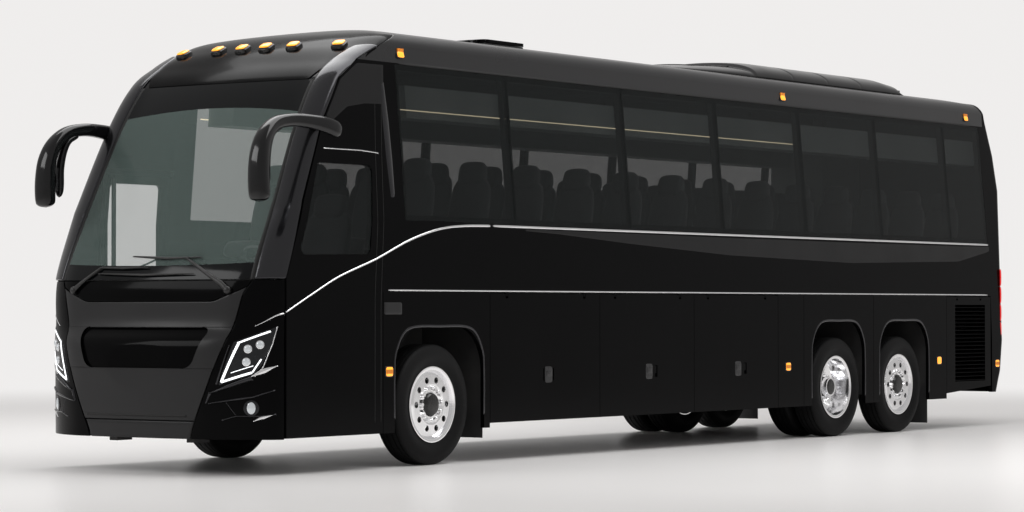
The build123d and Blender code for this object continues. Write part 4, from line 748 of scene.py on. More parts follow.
def band(line, width, lift, place, count=60, columns=7, sink=0.001):
    """Raised strip along a line on a surface: its height across is lift * sin(pi s)^0.6, and its edges
    sink into the surface. place turns the line's two coordinates into a place on that surface."""
    line = resample(line, count)
    t = np.gradient(line, axis=0)
    t /= np.linalg.norm(t, axis=1, keepdims=True)
    s = np.linspace(0.0, 1.0, columns)
    width = np.interp(np.linspace(0, 1, count), np.linspace(0, 1, np.size(width)), np.atleast_1d(width))
    a = line[:, None, 0] - t[:, None, 1] * (s - 0.5) * width[:, None]
    b = line[:, None, 1] + t[:, None, 0] * (s - 0.5) * width[:, None]
    points = place(a, b)
    end = np.clip(from_ends(count) / 1.5, 0.0, 1.0)[:, None]
    up = end * lift * np.maximum(np.sin(np.pi * s), 0.0)[None] ** 0.6 - sink
    return facing(points + normals(points) * up[..., None])


def plate(points, lift):
    """Grid raised off its surface by lift, whose outermost points dip 1 mm into it."""
    rows, columns = points.shape[:2]
    up = np.where(np.minimum(from_ends(rows)[:, None], from_ends(columns)[None]) == 0, -0.001, lift)
    return facing(points + normals(points) * up[..., None])


def ruled(first, second, lift, place, count=40, rows=14):
    """Plate between two lines on a surface."""
    first, second = resample(first, count), resample(second, count)
    v = np.linspace(0.0, 1.0, rows)[:, None, None]
    line = first[None] * (1 - v) + second[None] * v
    return plate(place(line[..., 0], line[..., 1]), lift)


def oval(count, power):
    """Cosine and sine round a superellipse: an ellipse where power is 1 and nearly a rectangle where
    it is small."""
    angle = np.linspace(0.0, 2 * np.pi, count, endpoint=False)
    c, s = np.cos(angle), np.sin(angle)
    return np.sign(c) * np.abs(c) ** power, np.sign(s) * np.abs(s) ** power


def dome(place, out, radii, height, around=28, power=0.5, square=1.0):
    """Low dome on a surface: a superelliptic ring of the given radii and squareness, which rises by
    height * (1 - r^2)^power to its middle."""
    out = np.asarray(out, float) / np.linalg.norm(out)
    up = np.array([0.0, 0.0, 1.0]) - out[2] * out
    up /= np.linalg.norm(up)
    side = np.cross(up, out)
    r = np.sin(np.linspace(np.pi / 2, 0.0, 7))[:, None, None]
    rise = height * (1.0 - r ** 2) ** power
    wide, tall = (part[None, :, None] for part in oval(around, square))
    return place + r * (radii[0] * wide * side + radii[1] * tall * up) + rise * out


def outward_at(hand, x, z):
    """Unit normal of the rounded nose at one place."""
    spread_x, spread_z = np.array([[-0.02, -0.02], [0.02, 0.02]]), np.array([[-0.02, 0.02], [-0.02, 0.02]])
    near = front(hand * (x + spread_x), z + spread_z)
    n = np.cross(near[1, 0] - near[0, 0], near[0, 1] - near[0, 0])
    n /= np.linalg.norm(n)
    return n if n[1] < 0 else -n


def nose_of(hand):
    """Surface of one side of the rounded nose, as a function of x and z."""
    return lambda x, z: front(hand * x, z)


def flank_of(hand):
    """Surface of one side's flat panels, as a function of y and z."""
    return lambda y, z: beside(hand, y, z)


# ------------------------------------------------------------------ headlamps
# Each lamp is a dark plate with LED light guides along its edges and three domed lenses in bright rings.
# A fog lamp sits below it, and raised lips with bright edges lead into the corner.
lamp_dark = shader("lamp_dark", (0.018, 0.019, 0.021), 0.22, metallic=0.6)
grain(lamp_dark, 30.0, 0.18, 0.30)
led_white = shader("led_white", (0.9, 0.92, 0.95), 0.3, Emission_Color=(0.95, 0.98, 1.0, 1.0),
                   Emission_Strength=1.15)
grain(led_white, 60.0, 0.25, 0.35)
bright_trim = shader("bright_trim", (0.78, 0.78, 0.79), 0.14, metallic=1.0)
grain(bright_trim, 25.0, 0.10, 0.2)
lens_glass = shader("lens_glass", (0.55, 0.58, 0.6), 0.05, metallic=0.35, Coat_Weight=1.0,
                    Coat_Roughness=0.02, Emission_Color=(0.9, 0.95, 1.0, 1.0), Emission_Strength=0.12)
grain(lens_glass, 20.0, 0.04, 0.08)
lamp_finishes = [lamp_dark, led_white, graphite_painted_highlight, bright_trim, lens_glass]
dark, led, lip, bright, glass = range(5)
# Each strip: its line in x and z, its width along the line, its height and its finish.
lamp_strips = [
    ([(0.975, 1.075), (1.200, 1.175)], 0.019, 0.010, led),
    ([(0.990, 1.080), (0.855, 0.755)], 0.024, 0.010, led),
    ([(0.855, 0.760), (1.085, 0.840)], 0.022, 0.010, led),
    ([(1.085, 0.840), (1.145, 0.950)], 0.014, 0.009, led),
    ([(0.930, 0.835), (1.095, 0.895)], 0.009, 0.007, led),
    ([(0.920, 1.065), (0.815, 0.740)], (0.006, 0.016), 0.005, lip),
    ([(1.235, 1.215), (1.210, 1.065), (1.155, 0.880), (1.100, 0.805)], 0.007, 0.005, bright),
    ([(0.750, 0.665), (0.775, 0.675), (1.085, 0.795)], (0.010, 0.034, 0.040), 0.020, lip),
    ([(0.765, 0.680), (0.725, 0.585)], (0.030, 0.014), 0.014, lip),
    ([(1.075, 0.805), (1.155, 0.850), (1.240, 0.895)], (0.008, 0.040, 0.006), 0.008, bright),
    ([(0.735, 0.585), (1.085, 0.640), (1.225, 0.695)], (0.010, 0.022, 0.010), 0.012, lip),
    ([(1.085, 0.440), (1.135, 0.470), (1.225, 0.500)], (0.006, 0.030, 0.006), 0.007, bright),
    ([(0.850, 0.450), (0.965, 0.485), (1.130, 0.485), (1.230, 0.500)], 0.012, 0.010, lip),
    ([(0.890, 0.600), (0.965, 0.490)], 0.006, 0.003, lip)]
lamp_top = [(0.835, 0.740), (0.945, 1.090), (1.235, 1.210)]
lamp_foot = [(0.840, 0.735), (1.095, 0.820), (1.150, 0.895), (1.210, 1.060), (1.235, 1.205)]
fog_x, fog_z = 1.075, 0.550
patches = []
for hand in (1, -1):
    patches.append((ruled(lamp_top, lamp_foot, 0.003, nose_of(hand)), dark))
    for line, width, lift, finish in lamp_strips:
        patches.append((band(line, width, lift, nose_of(hand)), finish))
    for x, z in ((1.055, 1.030), (1.135, 1.065), (1.045, 0.925)):
        out = outward_at(hand, x, z)
        place = front(hand * x, z) + 0.002 * out
        patches.append((dome(place, out, (0.036, 0.036), 0.006, power=0.3), bright, True))
        patches.append((dome(place + 0.004 * out, out, (0.029, 0.029), 0.014), glass, True))
    out = outward_at(hand, fog_x, fog_z)
    place = front(hand * fog_x, fog_z) - 0.002 * out
    patches.append((dome(place, out, (0.066, 0.066), 0.009, power=0.25), dark, True))
    patches.append((dome(place + 0.004 * out, out, (0.036, 0.050), 0.013, power=0.35), glass, True))
lamps = piece("headlamp_units", patches, lamp_finishes)
ride(lamps, "lamp_lens", "headlamps")

# ------------------------------------------------------------------ bright lines and side seams
# Narrow polished strips: one sweeps up from each headlamp to the belt and runs back under the windows,
# one follows the tops of the lower doors, and one crosses over the driver's window. Rubber seams mark the
# body's joints. On the right the sweep is cut at the entrance door, and the door carries its own length.
# Satin black for the cheek above the driver's window, and for a lens-shaped band under the belt line that is
# a painted reflection on the gloss side.
cheek_and_reflection_paint = shader("cheek_and_reflection_paint", (0.007, 0.007, 0.0075), 0.35, Specular_IOR_Level=0.18)
grain(cheek_and_reflection_paint, 2.5, 0.3, 0.42)
sweep = smooth_line([(-2.045, 1.328), (-1.700, 1.480), (-1.345, 1.627), (-0.859, 1.775), (-0.385, 1.945),
                     (0.045, 2.049), (0.398, 2.084), (0.800, 2.094)], 12)
# Lines on the side panels are given in y from the front axle and z, and start_line in x and z on the nose.
belt_line, door_tops, seam_line, line_end = 2.094, 1.514, 3.468, 10.700
door_front, door_rear = (-1.565, -1.558), (-0.695, -0.702)
polished, rubber, graphite, satin_and_reflection = range(4)
brow_foot = [(-1.440, 2.950), (-1.210, 3.290), (-0.970, 3.445), (-0.600, 3.450)]
brow_head = [(-1.400, 2.900), (-1.144, 3.049), (-0.900, 3.085), (-0.640, 3.095)]
reflection_band_foot = [(1.300, 2.060), (1.870, 2.040), (3.030, 1.970), (4.880, 1.880), (7.400, 1.830), (9.900, 1.880),
              (10.720, 2.020)]
start_line = [(1.085, 1.215), (1.135, 1.240), (1.232, 1.303), (1.264, 1.320)]
window_seam = [(-0.645, 3.300), (-0.600, 2.300)]
over_window = [(-1.502, 2.690), (-1.000, 2.692), (-0.755, 2.678)]
patches = []
for hand in (1, -1):
    nose, flank = nose_of(hand), flank_of(hand)
    tops_start = -0.750 if hand > 0 else -0.690
    patches += [
        (band(start_line, (0.006, 0.013), 0.005, nose), polished),
        (band([(0.790, belt_line), (line_end, belt_line)], 0.022, 0.006, flank), polished),
        (band([(tops_start, door_tops), (line_end, door_tops)], 0.014, 0.005, flank), polished),
        (band([(-0.450, seam_line), (10.500, seam_line)], 0.018, 0.005, flank), rubber),
        (band(window_seam, (0.05, 0.085, 0.085, 0.06), 0.008, flank, 30), graphite)]
    if hand > 0:
        patches.append((band(over_window, 0.010, 0.005, flank, 40), polished))
    patches.append((ruled(brow_foot, brow_head, 0.002, flank), satin_and_reflection))
    # Painted reflection: a lens-shaped lighter band under the belt line along the gloss side.
    patches.append((ruled([(1.300, 2.076), (10.720, 2.076)], reflection_band_foot, 0.0015, flank, 90, 8), satin_and_reflection))
    if hand > 0:
        patches.append((band(sweep, (0.013, 0.022), 0.006, flank, 120), polished))
        for foot, head in ((-0.789, -0.640), (-0.871, -0.730)):
            seam = [(foot, 0.35), (foot, 1.43), ((foot + head) / 2, 2.7), (head, 3.46)]
            patches.append((band(seam, 0.007, 0.002, flank), rubber))
    else:
        patches.append((band(sweep[sweep[:, 0] < door_front[0]], (0.013, 0.016), 0.006, flank, 40), polished))
        patches.append((band(sweep[sweep[:, 0] > door_rear[0]], (0.018, 0.022), 0.006, flank, 70), polished))
trim = piece("bright_lines", patches, [bright_trim, gasket_rubber, graphite_painted_highlight, cheek_and_reflection_paint])
ride(trim, "polished_wheel")
on_door = sweep[(sweep[:, 0] > door_front[1]) & (sweep[:, 0] < door_rear[1])]
door_strip = band(on_door, (0.016, 0.018), 0.006, flank_of(-1), 50)
door_line = piece("door_bright_line", [(door_strip, 0)], [bright_trim])
ride(door_line, "polished_wheel", body="entrance_door")

# ------------------------------------------------------------------ mirrors
# Horn-shaped mirror arms of moulded plastic spring from the pillars, arch forward and end in drooping
# heads. Each has a second, slimmer lobe behind it and a mirror glass on its rearward face.
mirror_shell = shader("mirror_shell", (0.003, 0.003, 0.0035), 0.12, Specular_IOR_Level=0.2, Coat_Weight=0.3,
                      Coat_Roughness=0.05)
grain(mirror_shell, 4.0, 0.08, 0.18)
silvered = shader("silvered", (0.8, 0.82, 0.84), 0.02, metallic=1.0)
grain(silvered, 10.0, 0.01, 0.04)


def horn(path, halves):
    """Closed tube along a curve. Each cross-section is a superellipse, with one half width along x and
    the other along the curve's own normal, and over the last five rows at either end it closes to a
    point by sqrt(1 - (1 - k / 5)^2)."""
    rows = smooth_line(np.column_stack([path, halves]), 8)
    centre, wide = rows[:, :3], rows[:, 3:5]
    t = np.gradient(centre, axis=0)
    t /= np.linalg.norm(t, axis=1, keepdims=True)
    side = np.array([1.0, 0.0, 0.0]) - t[:, :1] * t
    side /= np.linalg.norm(side, axis=1, keepdims=True)
    deep = np.cross(t, side)
    closing = np.sqrt(np.clip(1.0 - (1.0 - from_ends(len(rows)) / 5.0).clip(0) ** 2, 0.0, 1.0))[:, None]
    c, s = oval(28, 0.7)
    wide = wide * closing
    return (centre[:, None] + wide[:, :1, None] * c[None, :, None] * side[:, None]
            + wide[:, 1:, None] * s[None, :, None] * deep[:, None])


# Paths are given in x, y from the front axle and z.
arm_path = np.array([(1.205, -1.240, 2.830), (1.200, -1.420, 2.880), (1.180, -1.640, 2.905),
                     (1.165, -1.860, 2.905), (1.165, -2.060, 2.865), (1.175, -2.200, 2.760),
                     (1.185, -2.270, 2.620), (1.190, -2.290, 2.450), (1.192, -2.285, 2.300),
                     (1.192, -2.275, 2.222)])
arm_half = np.array([(0.045, 0.075), (0.045, 0.070), (0.045, 0.060), (0.047, 0.055), (0.055, 0.055),
                     (0.070, 0.058), (0.082, 0.062), (0.090, 0.064), (0.092, 0.062), (0.080, 0.050)])
lobe_path = np.array([(1.140, -1.930, 2.850), (1.140, -2.050, 2.800), (1.145, -2.115, 2.700),
                      (1.150, -2.150, 2.560), (1.150, -2.155, 2.420), (1.150, -2.160, 2.310)])
lobe_half = np.array([(0.018, 0.020), (0.024, 0.024), (0.030, 0.028), (0.036, 0.030), (0.038, 0.030),
                      (0.032, 0.024)])
patches = []
for hand in (1, -1):
    for path, half in ((arm_path, arm_half), (lobe_path, lobe_half)):
        patches.append((horn((path + (0.0, front_axle_y, 0.0)) * (hand, 1.0, 1.0), half), 0, True))
    glass_at = np.array([hand * 1.190, front_axle_y - 2.224, 2.44])
    patches.append((dome(glass_at, (0.0, 1.0, -0.05), (0.066, 0.150), 0.003, power=0.5), 1, True))
mirror_arms = piece("mirror_arms", patches, [mirror_shell, silvered])
ride(mirror_arms, "black_plastic", "mirrors")

# ------------------------------------------------------------------ wheels
# Polished aluminium discs, each with a black hub cap in a bright ring and ten long domed nuts round it.
# Fine bumps and cloudy roughness break up their shine.
wheel_metal = shader("wheel_metal", (0.90, 0.90, 0.91), 0.14, metallic=1.0)
grain(wheel_metal, 14.0, 0.09, 0.18)
relief(wheel_metal, 160.0, 0.12, 0.0006, "TexNoise", (1.0, 0.3, 0.3))
cap_black = shader("cap_black", (0.006, 0.006, 0.006), 0.25, Specular_IOR_Level=0.5)
grain(cap_black, 30.0, 0.2, 0.3)
dress(wheel_metal, *(f"{kind}_{hand}" for kind in ("front_wheel", "tag_wheel", "drive_wheels")
                     for hand in ("left", "right")))
nut_count, bolt_radius = 10, 0.143


def hub(name, body, side, axle_y, face_x, cap_depth):
    """Hub cap turned about the axle, with domed nuts round it."""
    profile = smooth_line([(0.0, 0.106), (0.010, 0.105), (cap_depth * 0.7, 0.094), (cap_depth, 0.075),
                           (cap_depth + 0.004, 0.0)], 4)
    ring = np.array([(0.0, 0.113), (0.006, 0.112), (0.008, 0.108), (0.007, 0.102)])
    nut_side = np.array([(0.0, 0.024), (0.008, 0.0235), (0.009, 0.0165), (0.028, 0.0155), (0.033, 0.010),
                         (0.034, 0.0)])
    parts = []
    for shape, finish in ((profile, 0), (ring, 1)):
        swept = turned(shape * (side, 1.0) + (side * face_x, 0.0), axle_y, 48)
        parts.append((swept if side > 0 else swept[:, ::-1], finish, True))
    turn = np.linspace(0.0, 2 * np.pi, 12, endpoint=False)
    for k in range(nut_count):
        at_angle = k * np.pi / 5 + 0.2
        middle = (axle_y + bolt_radius * math.cos(at_angle), axle_z + bolt_radius * math.sin(at_angle))
        nut = np.stack([side * (face_x + nut_side[:, :1]) + 0.0 * turn,
                        middle[0] + nut_side[:, 1:] * np.cos(turn),
                        middle[1] + nut_side[:, 1:] * np.sin(turn)], axis=-1)
        parts.append((nut if side > 0 else nut[:, ::-1], 1, True))
    made = piece(name, parts, [cap_black, wheel_metal])
    ride(made, "polished_wheel", body=body)


single_face_x, twin_face_x = 1.196, 1.060
for side, hand in ((1, "left"), (-1, "right")):
    hub(f"front_hub_{hand}", f"front_wheel_{hand}", side, front_axle_y, single_face_x, 0.040)
    hub(f"tag_hub_{hand}", f"tag_wheel_{hand}", side, tag_axle_y, single_face_x, 0.040)
    hub(f"drive_hub_{hand}", f"drive_wheels_{hand}", side, drive_axle_y, twin_face_x, 0.110)

# ------------------------------------------------------------------ wipers
# Two wipers of black-coated steel: an arm rises from each domed pivot, and three slim blades lie over the
# glass.
wiper_black = shader("wiper_black", (0.006, 0.006, 0.006), 0.4)
grain(wiper_black, 40.0, 0.35, 0.5)
# Each part: its line in x and z on the glass, and its width along the line.
wiper_lines = [([(0.850, 1.507), (0.780, 1.560), (0.347, 1.773)], (0.050, 0.030, 0.020)),
               ([(-0.246, 1.787), (0.160, 1.768), (0.515, 1.772)], (0.010, 0.026, 0.010)),
               ([(-0.860, 1.512), (-0.760, 1.580), (-0.571, 1.697)], (0.050, 0.030, 0.020)),
               ([(-0.571, 1.697), (-0.300, 1.690), (-0.030, 1.693)], (0.020, 0.020, 0.008)),
               ([(-0.593, 1.646), (-0.050, 1.632), (0.479, 1.639)], (0.008, 0.022, 0.008))]
patches = [(band(line, width, 0.012, front, 50, 7, -0.016), 0) for line, width in wiper_lines]
for x, z in (wiper_lines[0][0][0], wiper_lines[2][0][0]):
    out = outward_at(1, x, z)
    patches.append((dome(front(x, z), out, (0.034, 0.034), 0.040, power=0.3), 0, True))
wipers = thick(piece("wiper_arms", patches, [wiper_black]), 0.008)
ride(wipers, "black_plastic", "wipers")

# ------------------------------------------------------------------ marker lamps
# Amber marker lamps in black bezels: six along the roof's brow, three along each roof edge and four low
# down on each side. The solid lamp blocks under them are amber, and red on the upper part of the tail.
# The lenses glow although the lamps are not lit: painted glow.
amber_painted_glow = shader("amber_painted_glow", (0.85, 0.28, 0.01), 0.2, Emission_Color=(1.0, 0.36, 0.02, 1.0), Emission_Strength=1.3,
               Coat_Weight=0.6)
grain(amber_painted_glow, 60.0, 0.12, 0.25)
amber_block = shader("amber_block", (0.80, 0.24, 0.01), 0.25)
grain(amber_block, 60.0, 0.2, 0.3)
# Behind y = 6.2 m and above z = 0.9 m the blocks are red.
axes = node(amber_block, "SeparateXYZ")
behind = node(amber_block, "MapRange", From_Min=6.20, From_Max=6.25)
above = node(amber_block, "MapRange", From_Min=0.85, From_Max=0.90)
both = node(amber_block, "Math", {"operation": "MULTIPLY"})
lens_shades = node(amber_block, "Mix", {"data_type": "RGBA"})
lens_shades.inputs[6].default_value = (0.80, 0.24, 0.01, 1.0)
lens_shades.inputs[7].default_value = (0.22, 0.004, 0.004, 1.0)
wire(amber_block, node(amber_block, "TexCoord"), "Object", axes, "Vector")
wire(amber_block, axes, "Y", behind, "Value")
wire(amber_block, axes, "Z", above, "Value")
wire(amber_block, behind, "Result", both, 0)
wire(amber_block, above, "Result", both, 1)
wire(amber_block, both, "Value", lens_shades, 0)
wire(amber_block, lens_shades, 2, base(amber_block), "Base Color")
dress(amber_block, "marker_lamps")
roof_edge_x, skirt_x = 1.152, 1.2745
lens_finish, bezel_finish = 0, 1


def marker(place, out, bezel, lens, lens_place):
    """Marker lamp: a black bezel at one place and an amber lens at another. Each is a dome, given by
    its radii, its height, the power of its rise and its squareness."""
    for at, (radii, height, power, square), finish in ((place, bezel, bezel_finish),
                                                       (lens_place, lens, lens_finish)):
        patches.append((dome(at, out, radii, height, power=power, square=square), finish, True))


patches = []
for hand in (1, -1):
    for x, z in ((0.133, 3.607), (0.425, 3.607), (0.880, 3.600)):
        out = outward_at(hand, x, z)
        place = front(hand * x, z)
        marker(place - 0.004 * out, out, ((0.066, 0.064), 0.042, 0.2, 0.5),
               ((0.052, 0.046), 0.014, 0.35, 0.5), place + 0.034 * out)
    for y, z in ((-0.367, 3.545), (6.156, 3.545), (10.330, 3.545)):
        place = np.array([hand * roof_edge_x, y + front_axle_y, z])
        marker(place, (hand, 0.0, 0.25), ((0.055, 0.036), 0.010, 0.2, 0.4), ((0.045, 0.027), 0.009, 0.3, 0.4),
               place + (hand * 0.007, 0.0, 0.002))
    for y, z in ((-0.677 if hand > 0 else -0.640, 0.822), (6.052, 0.758), (9.420, 0.775), (10.880, 0.720)):
        place = np.array([hand * skirt_x, y + front_axle_y, z])
        marker(place, (hand, 0.0, 0.0), ((0.058, 0.048), 0.0065, 0.15, 0.4),
               ((0.048, 0.040), 0.0055, 0.3, 0.4), place + (hand * 0.004, 0.0, 0.0))
brow = piece("brow_lamps", patches, [amber_painted_glow, cap_black])
ride(brow, "amber_lens")

# ------------------------------------------------------------------ flap and arch edges
# A small blank flap just behind the two seams on the left side, and glossy graphite strips that edge the
# wheel arches as a painted highlight along each arch lip.
flap_y, flap_z = np.meshgrid(np.linspace(-0.747, -0.496, 16), np.linspace(1.306, 1.412, 10), indexing="ij")
patches = [(plate(beside(1, flap_y, flap_z), 0.005), 0)]
# Each arch is given by the y of its middle from the front axle, half its width and the height of its crown.
for hand in (1, -1):
    for centre, half, top in ((0.050, 0.650, 1.205), (7.125, 0.578, 1.230), (8.600, 0.578, 1.230)):
        rising = [(-half, 0.42), (-half, 0.80), (0.03 - half, top - 0.20), (0.20 - half, top - 0.02),
                  (0.0, top)]
        falling = [(-y, z) for y, z in rising[-2::-1]]
        curve = smooth_line(np.array(rising + falling) + (centre, 0.0), 8)
        patches.append((band(curve, 0.022, 0.004, flank_of(hand), 120), 1))
details = piece("flap_and_edges", patches, [satin_paint_painted_light, graphite_painted_highlight])
ride(details, "body_paint")

# ------------------------------------------------------------------ bay door handles
# Each luggage door has a black paddle handle on a low moulded plate, with a bright catch along its top.
# The handle is fixed to its own door and lifts with it.
handle_black = shader("handle_black", (0.006, 0.006, 0.007), 0.3, Specular_IOR_Level=0.5)
grain(handle_black, 40.0, 0.25, 0.4)
for side, hand in ((1, "left"), (-1, "right")):
    for number, y in enumerate((1.705, 3.402, 5.054), 1):
        place = np.array([side * skirt_x, y + front_axle_y, 0.755])
        out = (side, 0.0, 0.0)
        backplate = dome(place, out, (0.060, 0.074), 0.004, around=36, power=0.12, square=0.35)
        paddle = dome(place + (side * 0.003, 0.0, 0.012), out, (0.044, 0.030), 0.006, power=0.25, square=0.4)
        catch = dome(place + (side * 0.004, 0.0, 0.030), (side, 0.0, 0.3), (0.040, 0.006), 0.004, power=0.4)
        made = piece(f"bay_handle_{hand}_{number}",
                     [(backplate, 0, True), (paddle, 0, True), (catch, 1, True)],
                     [handle_black, bright_trim])
        ride(made, "black_plastic", body=f"bay_door_{hand}_{number}")

# ------------------------------------------------------------------ tail lamps and door seal
# A column of four red lamps wraps each rear corner. A rubber seal closes the gap along the front edge and
# over the head of the entrance door.
tail_red = shader("tail_red", (0.5, 0.006, 0.006), 0.2, Emission_Color=(1.0, 0.02, 0.02, 1.0),
                  Emission_Strength=0.45, Coat_Weight=0.5)
grain(tail_red, 60.0, 0.15, 0.25)
rear_corner_x, rear_corner_y, corner_radius = 1.122, 10.955, 0.1500
lamp_foot_z, lamp_pitch, lamp_height = 1.005, 0.205, 0.195
turn = np.radians(np.linspace(8.0, 88.0, 18))[None]
s = np.linspace(0.0, 1.0, 9)[:, None]
radius = corner_radius + 0.009 * np.sin(np.pi * s) ** 0.3 * np.sin(np.linspace(0.0, np.pi, 18)[None]) ** 0.3
patches = []
for hand in (1, -1):
    for k in range(4):
        lamp = np.stack([hand * (rear_corner_x + radius * np.cos(turn)),
                         rear_corner_y + front_axle_y + radius * np.sin(turn),
                         lamp_foot_z + lamp_pitch * k + lamp_height * s + 0.0 * turn], axis=-1)
        patches.append((lamp if hand > 0 else lamp[::-1], 0))
seal_line = [(-1.570, 1.450), (-1.570, 2.566), (-0.695, 2.566)]
seal = band(seal_line, 0.050, 0.006, lambda y, z: beside(-1, y, z) + (0.070, 0.0, 0.0))
patches.append((seal, 1))
tail = thick(piece("tail_lamps", patches, [tail_red, gasket_rubber]), 0.004)
ride(tail, "lamp_lens")

# ------------------------------------------------------------------ seats
# Touring seats in charcoal cloth over moulded foam, in pairs, each with a crowned cushion, a winged back
# and a separate headrest, on a black steel plinth. The driver's seat is single.
seat_cloth = shader("seat_cloth", (0.022, 0.026, 0.028), 0.85, Sheen_Weight=0.25, Sheen_Roughness=0.5)
tint(seat_cloth, 6.0, (0.016, 0.019, 0.021), (0.03, 0.034, 0.036))
relief(seat_cloth, 700.0, 0.5, 0.0006, "TexVoronoi")
seat_frame = shader("seat_frame", (0.015, 0.015, 0.016), 0.5)
grain(seat_frame, 20.0, 0.4, 0.6)


def pad(outline, x_from, x_to, crown, seam_at=0.0, stations=15):
    """Soft closed form: the side outline is a loop, drawn at each station across and shrunk towards
    its own middle by (1 - |s|^p)^(1/p) with p = 5, so that both flanks close in a crown. If
    seam_at is given, two shallow seams run round the loop at s = +-seam_at."""
    loop = np.asarray(outline, float)
    s = np.sin(np.linspace(-np.pi / 2, np.pi / 2, stations))
    shrink = np.maximum(1.0 - np.abs(s) ** 5.0, 0.0) ** 0.2
    groove = 1.0 - 0.035 * np.exp(-((np.abs(s) - seam_at) / 0.04) ** 2) if seam_at else 1.0
    bulge = 1.0 + crown * (1.0 - s ** 2)
    middle = loop.mean(axis=0)
    ring = middle + (loop - middle)[None] * (shrink * groove * bulge)[:, None, None]
    x = (x_from + x_to) / 2 + (x_to - x_from) / 2 * s
    return np.concatenate([x[:, None, None] + 0.0 * ring[..., :1], ring], axis=-1)


def loop_line(corners):
    """Closed Catmull-Rom loop through corners in (y, z), four points to a span, turned to run the
    other way round."""
    corners = np.asarray(corners, float)
    wrapped = np.concatenate([corners[-1:], corners, corners[:2]])
    return smooth_line(wrapped, 4)[4:-5][::-1]


# Side outlines in y and z from the foot of the seat.
base_loop = loop_line([(0.02, 0.34), (0.03, 0.43), (0.10, 0.475), (0.28, 0.465), (0.46, 0.445), (0.50, 0.38),
                       (0.44, 0.33), (0.22, 0.32)])
back_loop = loop_line([(0.42, 0.42), (0.41, 0.55), (0.47, 0.80), (0.545, 1.00), (0.575, 1.02), (0.61, 0.99),
                       (0.59, 0.80), (0.54, 0.55), (0.52, 0.40), (0.47, 0.37)])
head_loop = loop_line([(0.515, 1.00), (0.525, 1.09), (0.555, 1.16), (0.60, 1.175), (0.64, 1.14),
                       (0.645, 1.05), (0.625, 1.00), (0.57, 0.975)])
plinth_side = np.repeat([(0.10, 0.0), (0.44, 0.0), (0.42, 0.33), (0.12, 0.33)], 2, axis=0)
row_spacing = 0.835
# Each seat: x, y from the front axle, height of its foot and half its width. The driver's is last.
places = []
for side, first, rows in ((1, -0.420, 13), (-1, -0.100, 11)):
    for row in range(rows):
        places += [(side * x, first + row_spacing * row, 1.500, 0.205) for x in (0.505, 0.935)]
places.append((0.690, -1.320, 1.160, 0.240))
base_patches, back_patches, head_patches, frame_patches = [], [], [], []
for x, y, z, half in places:
    shift = np.array([front_axle_y + y, z])
    for loop, into, wide, crown, seam in ((base_loop, base_patches, half, 0.05, 0.55),
                                          (back_loop, back_patches, half, 0.06, 0.55),
                                          (head_loop, head_patches, half * 0.66, 0.08, 0.0)):
        into.append((pad(loop + shift, x - wide, x + wide, crown, seam), 0, True))
    plinth = pad(plinth_side + shift, x - half * 0.5, x + half * 0.5, 0.0, stations=7)
    frame_patches.append((plinth, 0, True))
for name, made, fill in (("seat_bases", base_patches, 0.7), ("seat_backs", back_patches, 0.65),
                         ("headrests", head_patches, 0.6)):
    cushions = piece(name, made, [seat_cloth], 60.0)
    if name == "seat_bases":
        ride(cushions, "seat_cloth", "seats")
    else:
        ride(cushions, "seat_cloth")
plinths = piece("seat_plinths", frame_patches, [seat_frame])
ride(plinths, "black_plastic")

# ------------------------------------------------------------------ cabin
# Dashboard and door arms in dark plastic, racks, lavatory and steps in mid grey, with a warm light line
# along each luggage rack.
cabin_dark = shader("cabin_dark", (0.035, 0.040, 0.040), 0.5)
grain(cabin_dark, 12.0, 0.4, 0.6)
relief(cabin_dark, 500.0, 0.3, 0.0005, "TexVoronoi")
cabin_grey = shader("cabin_grey", (0.22, 0.25, 0.245), 0.55)
tint(cabin_grey, 1.5, (0.19, 0.22, 0.215), (0.26, 0.29, 0.285))
dress(cabin_dark, "dashboard", "door_arms")
dress(cabin_grey, "cabin_fittings", "cab_floor")
rack_glow = shader("rack_glow", (0.8, 0.75, 0.6), 0.4, Emission_Color=(1.0, 0.86, 0.58, 1.0),
                   Emission_Strength=1.0)
grain(rack_glow, 30.0, 0.35, 0.45)
rack_z, rack_inset = 3.070, 0.056
along = np.linspace(-0.350, 6.400, 40)[:, None] + front_axle_y
s = np.linspace(0.0, 1.0, 5)[None]
patches = []
for side in (1, -1):
    strip_x = side * (flank_x(3.075) - rack_inset + 0.004 * np.sin(np.pi * s)) + 0.0 * along
    strip = np.stack([strip_x, along + 0.0 * s, rack_z + 0.009 * s + 0.0 * along], axis=-1)
    patches.append((strip[:, ::-1] if side > 0 else strip, 0))
glow = thick(piece("rack_lights", patches, [rack_glow]), 0.006)
ride(glow, "cabin_plastic")

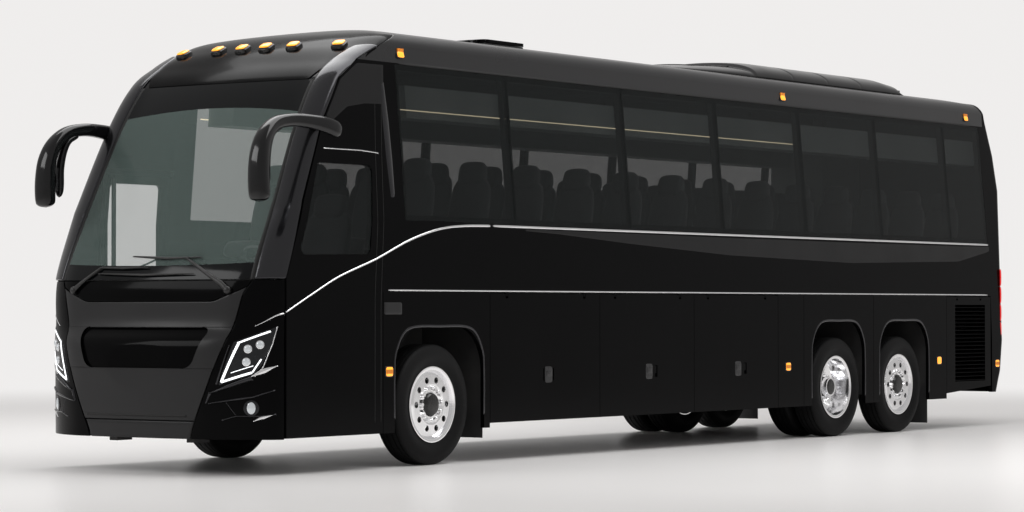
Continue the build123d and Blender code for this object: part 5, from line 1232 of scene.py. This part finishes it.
# ------------------------------------------------------------------ roof unit
# A low fairing covers the air-conditioning plant. Its nose ramps up under a dark intake, and its top is
# moulded in four lengths with shallow joints between them.
unit_front, unit_rear, unit_half, highest_z = 4.85, 9.60, 0.745, 3.993
unit_joints = (7.10, 7.85, 8.60)
# y from the front axle, height above the roof
unit_side = np.array([(4.85, 0.004), (5.60, 0.055), (6.28, 0.085), (6.34, 0.125), (6.60, 0.142),
                      (9.20, 0.142), (9.50, 0.110), (9.60, 0.004)])


def roof_unit(y, s):
    """Height of the fairing above the roof at a station y from the front axle and a share s from -1 to
    1 across: the ramp and level pod of its side view, less a shallow groove at every joint, times
    (1 - |s|^5)^0.4."""
    grooved = sum(np.exp(-((y - joint) / 0.016) ** 2) for joint in unit_joints)
    return (read(unit_side, y) - 0.014 * grooved) * (1.0 - np.abs(s) ** 5.0) ** 0.4


stations = [np.linspace(unit_front, unit_rear, 90), 6.30 + np.linspace(-0.05, 0.10, 12)]
stations += [joint + np.linspace(-0.04, 0.04, 11) for joint in unit_joints]
y = np.unique(np.concatenate(stations))[:, None]
s = np.sin(np.linspace(-np.pi / 2, np.pi / 2, 41))[None]
x = unit_half * s * np.interp(y, [unit_front, 6.2, unit_rear], [0.80, 1.0, 1.0])
unit_z = np.minimum(roof_z(x) + roof_unit(y, s), highest_z)
unit = np.stack([x, y + front_axle_y + 0.0 * s, unit_z], axis=-1)
scoop_y, scoop_s = np.linspace(5.55, 6.29, 16)[:, None], np.linspace(-0.6, 0.6, 15)[None]
scoop_x = 0.70 * scoop_s + 0.0 * scoop_y
scoop_z = roof_z(scoop_x) + roof_unit(scoop_y, scoop_s) + 0.004 + 0.004 * np.cos(np.pi * scoop_s / 1.2)
scoop = np.stack([scoop_x, scoop_y + front_axle_y + 0.0 * scoop_s, scoop_z], axis=-1)
unit_piece = thick(piece("roof_unit", [(facing(unit), 0), (facing(scoop), 1)],
                         [mirror_shell, gasket_rubber]), 0.004)
ride(unit_piece, "body_paint", "air_conditioner")
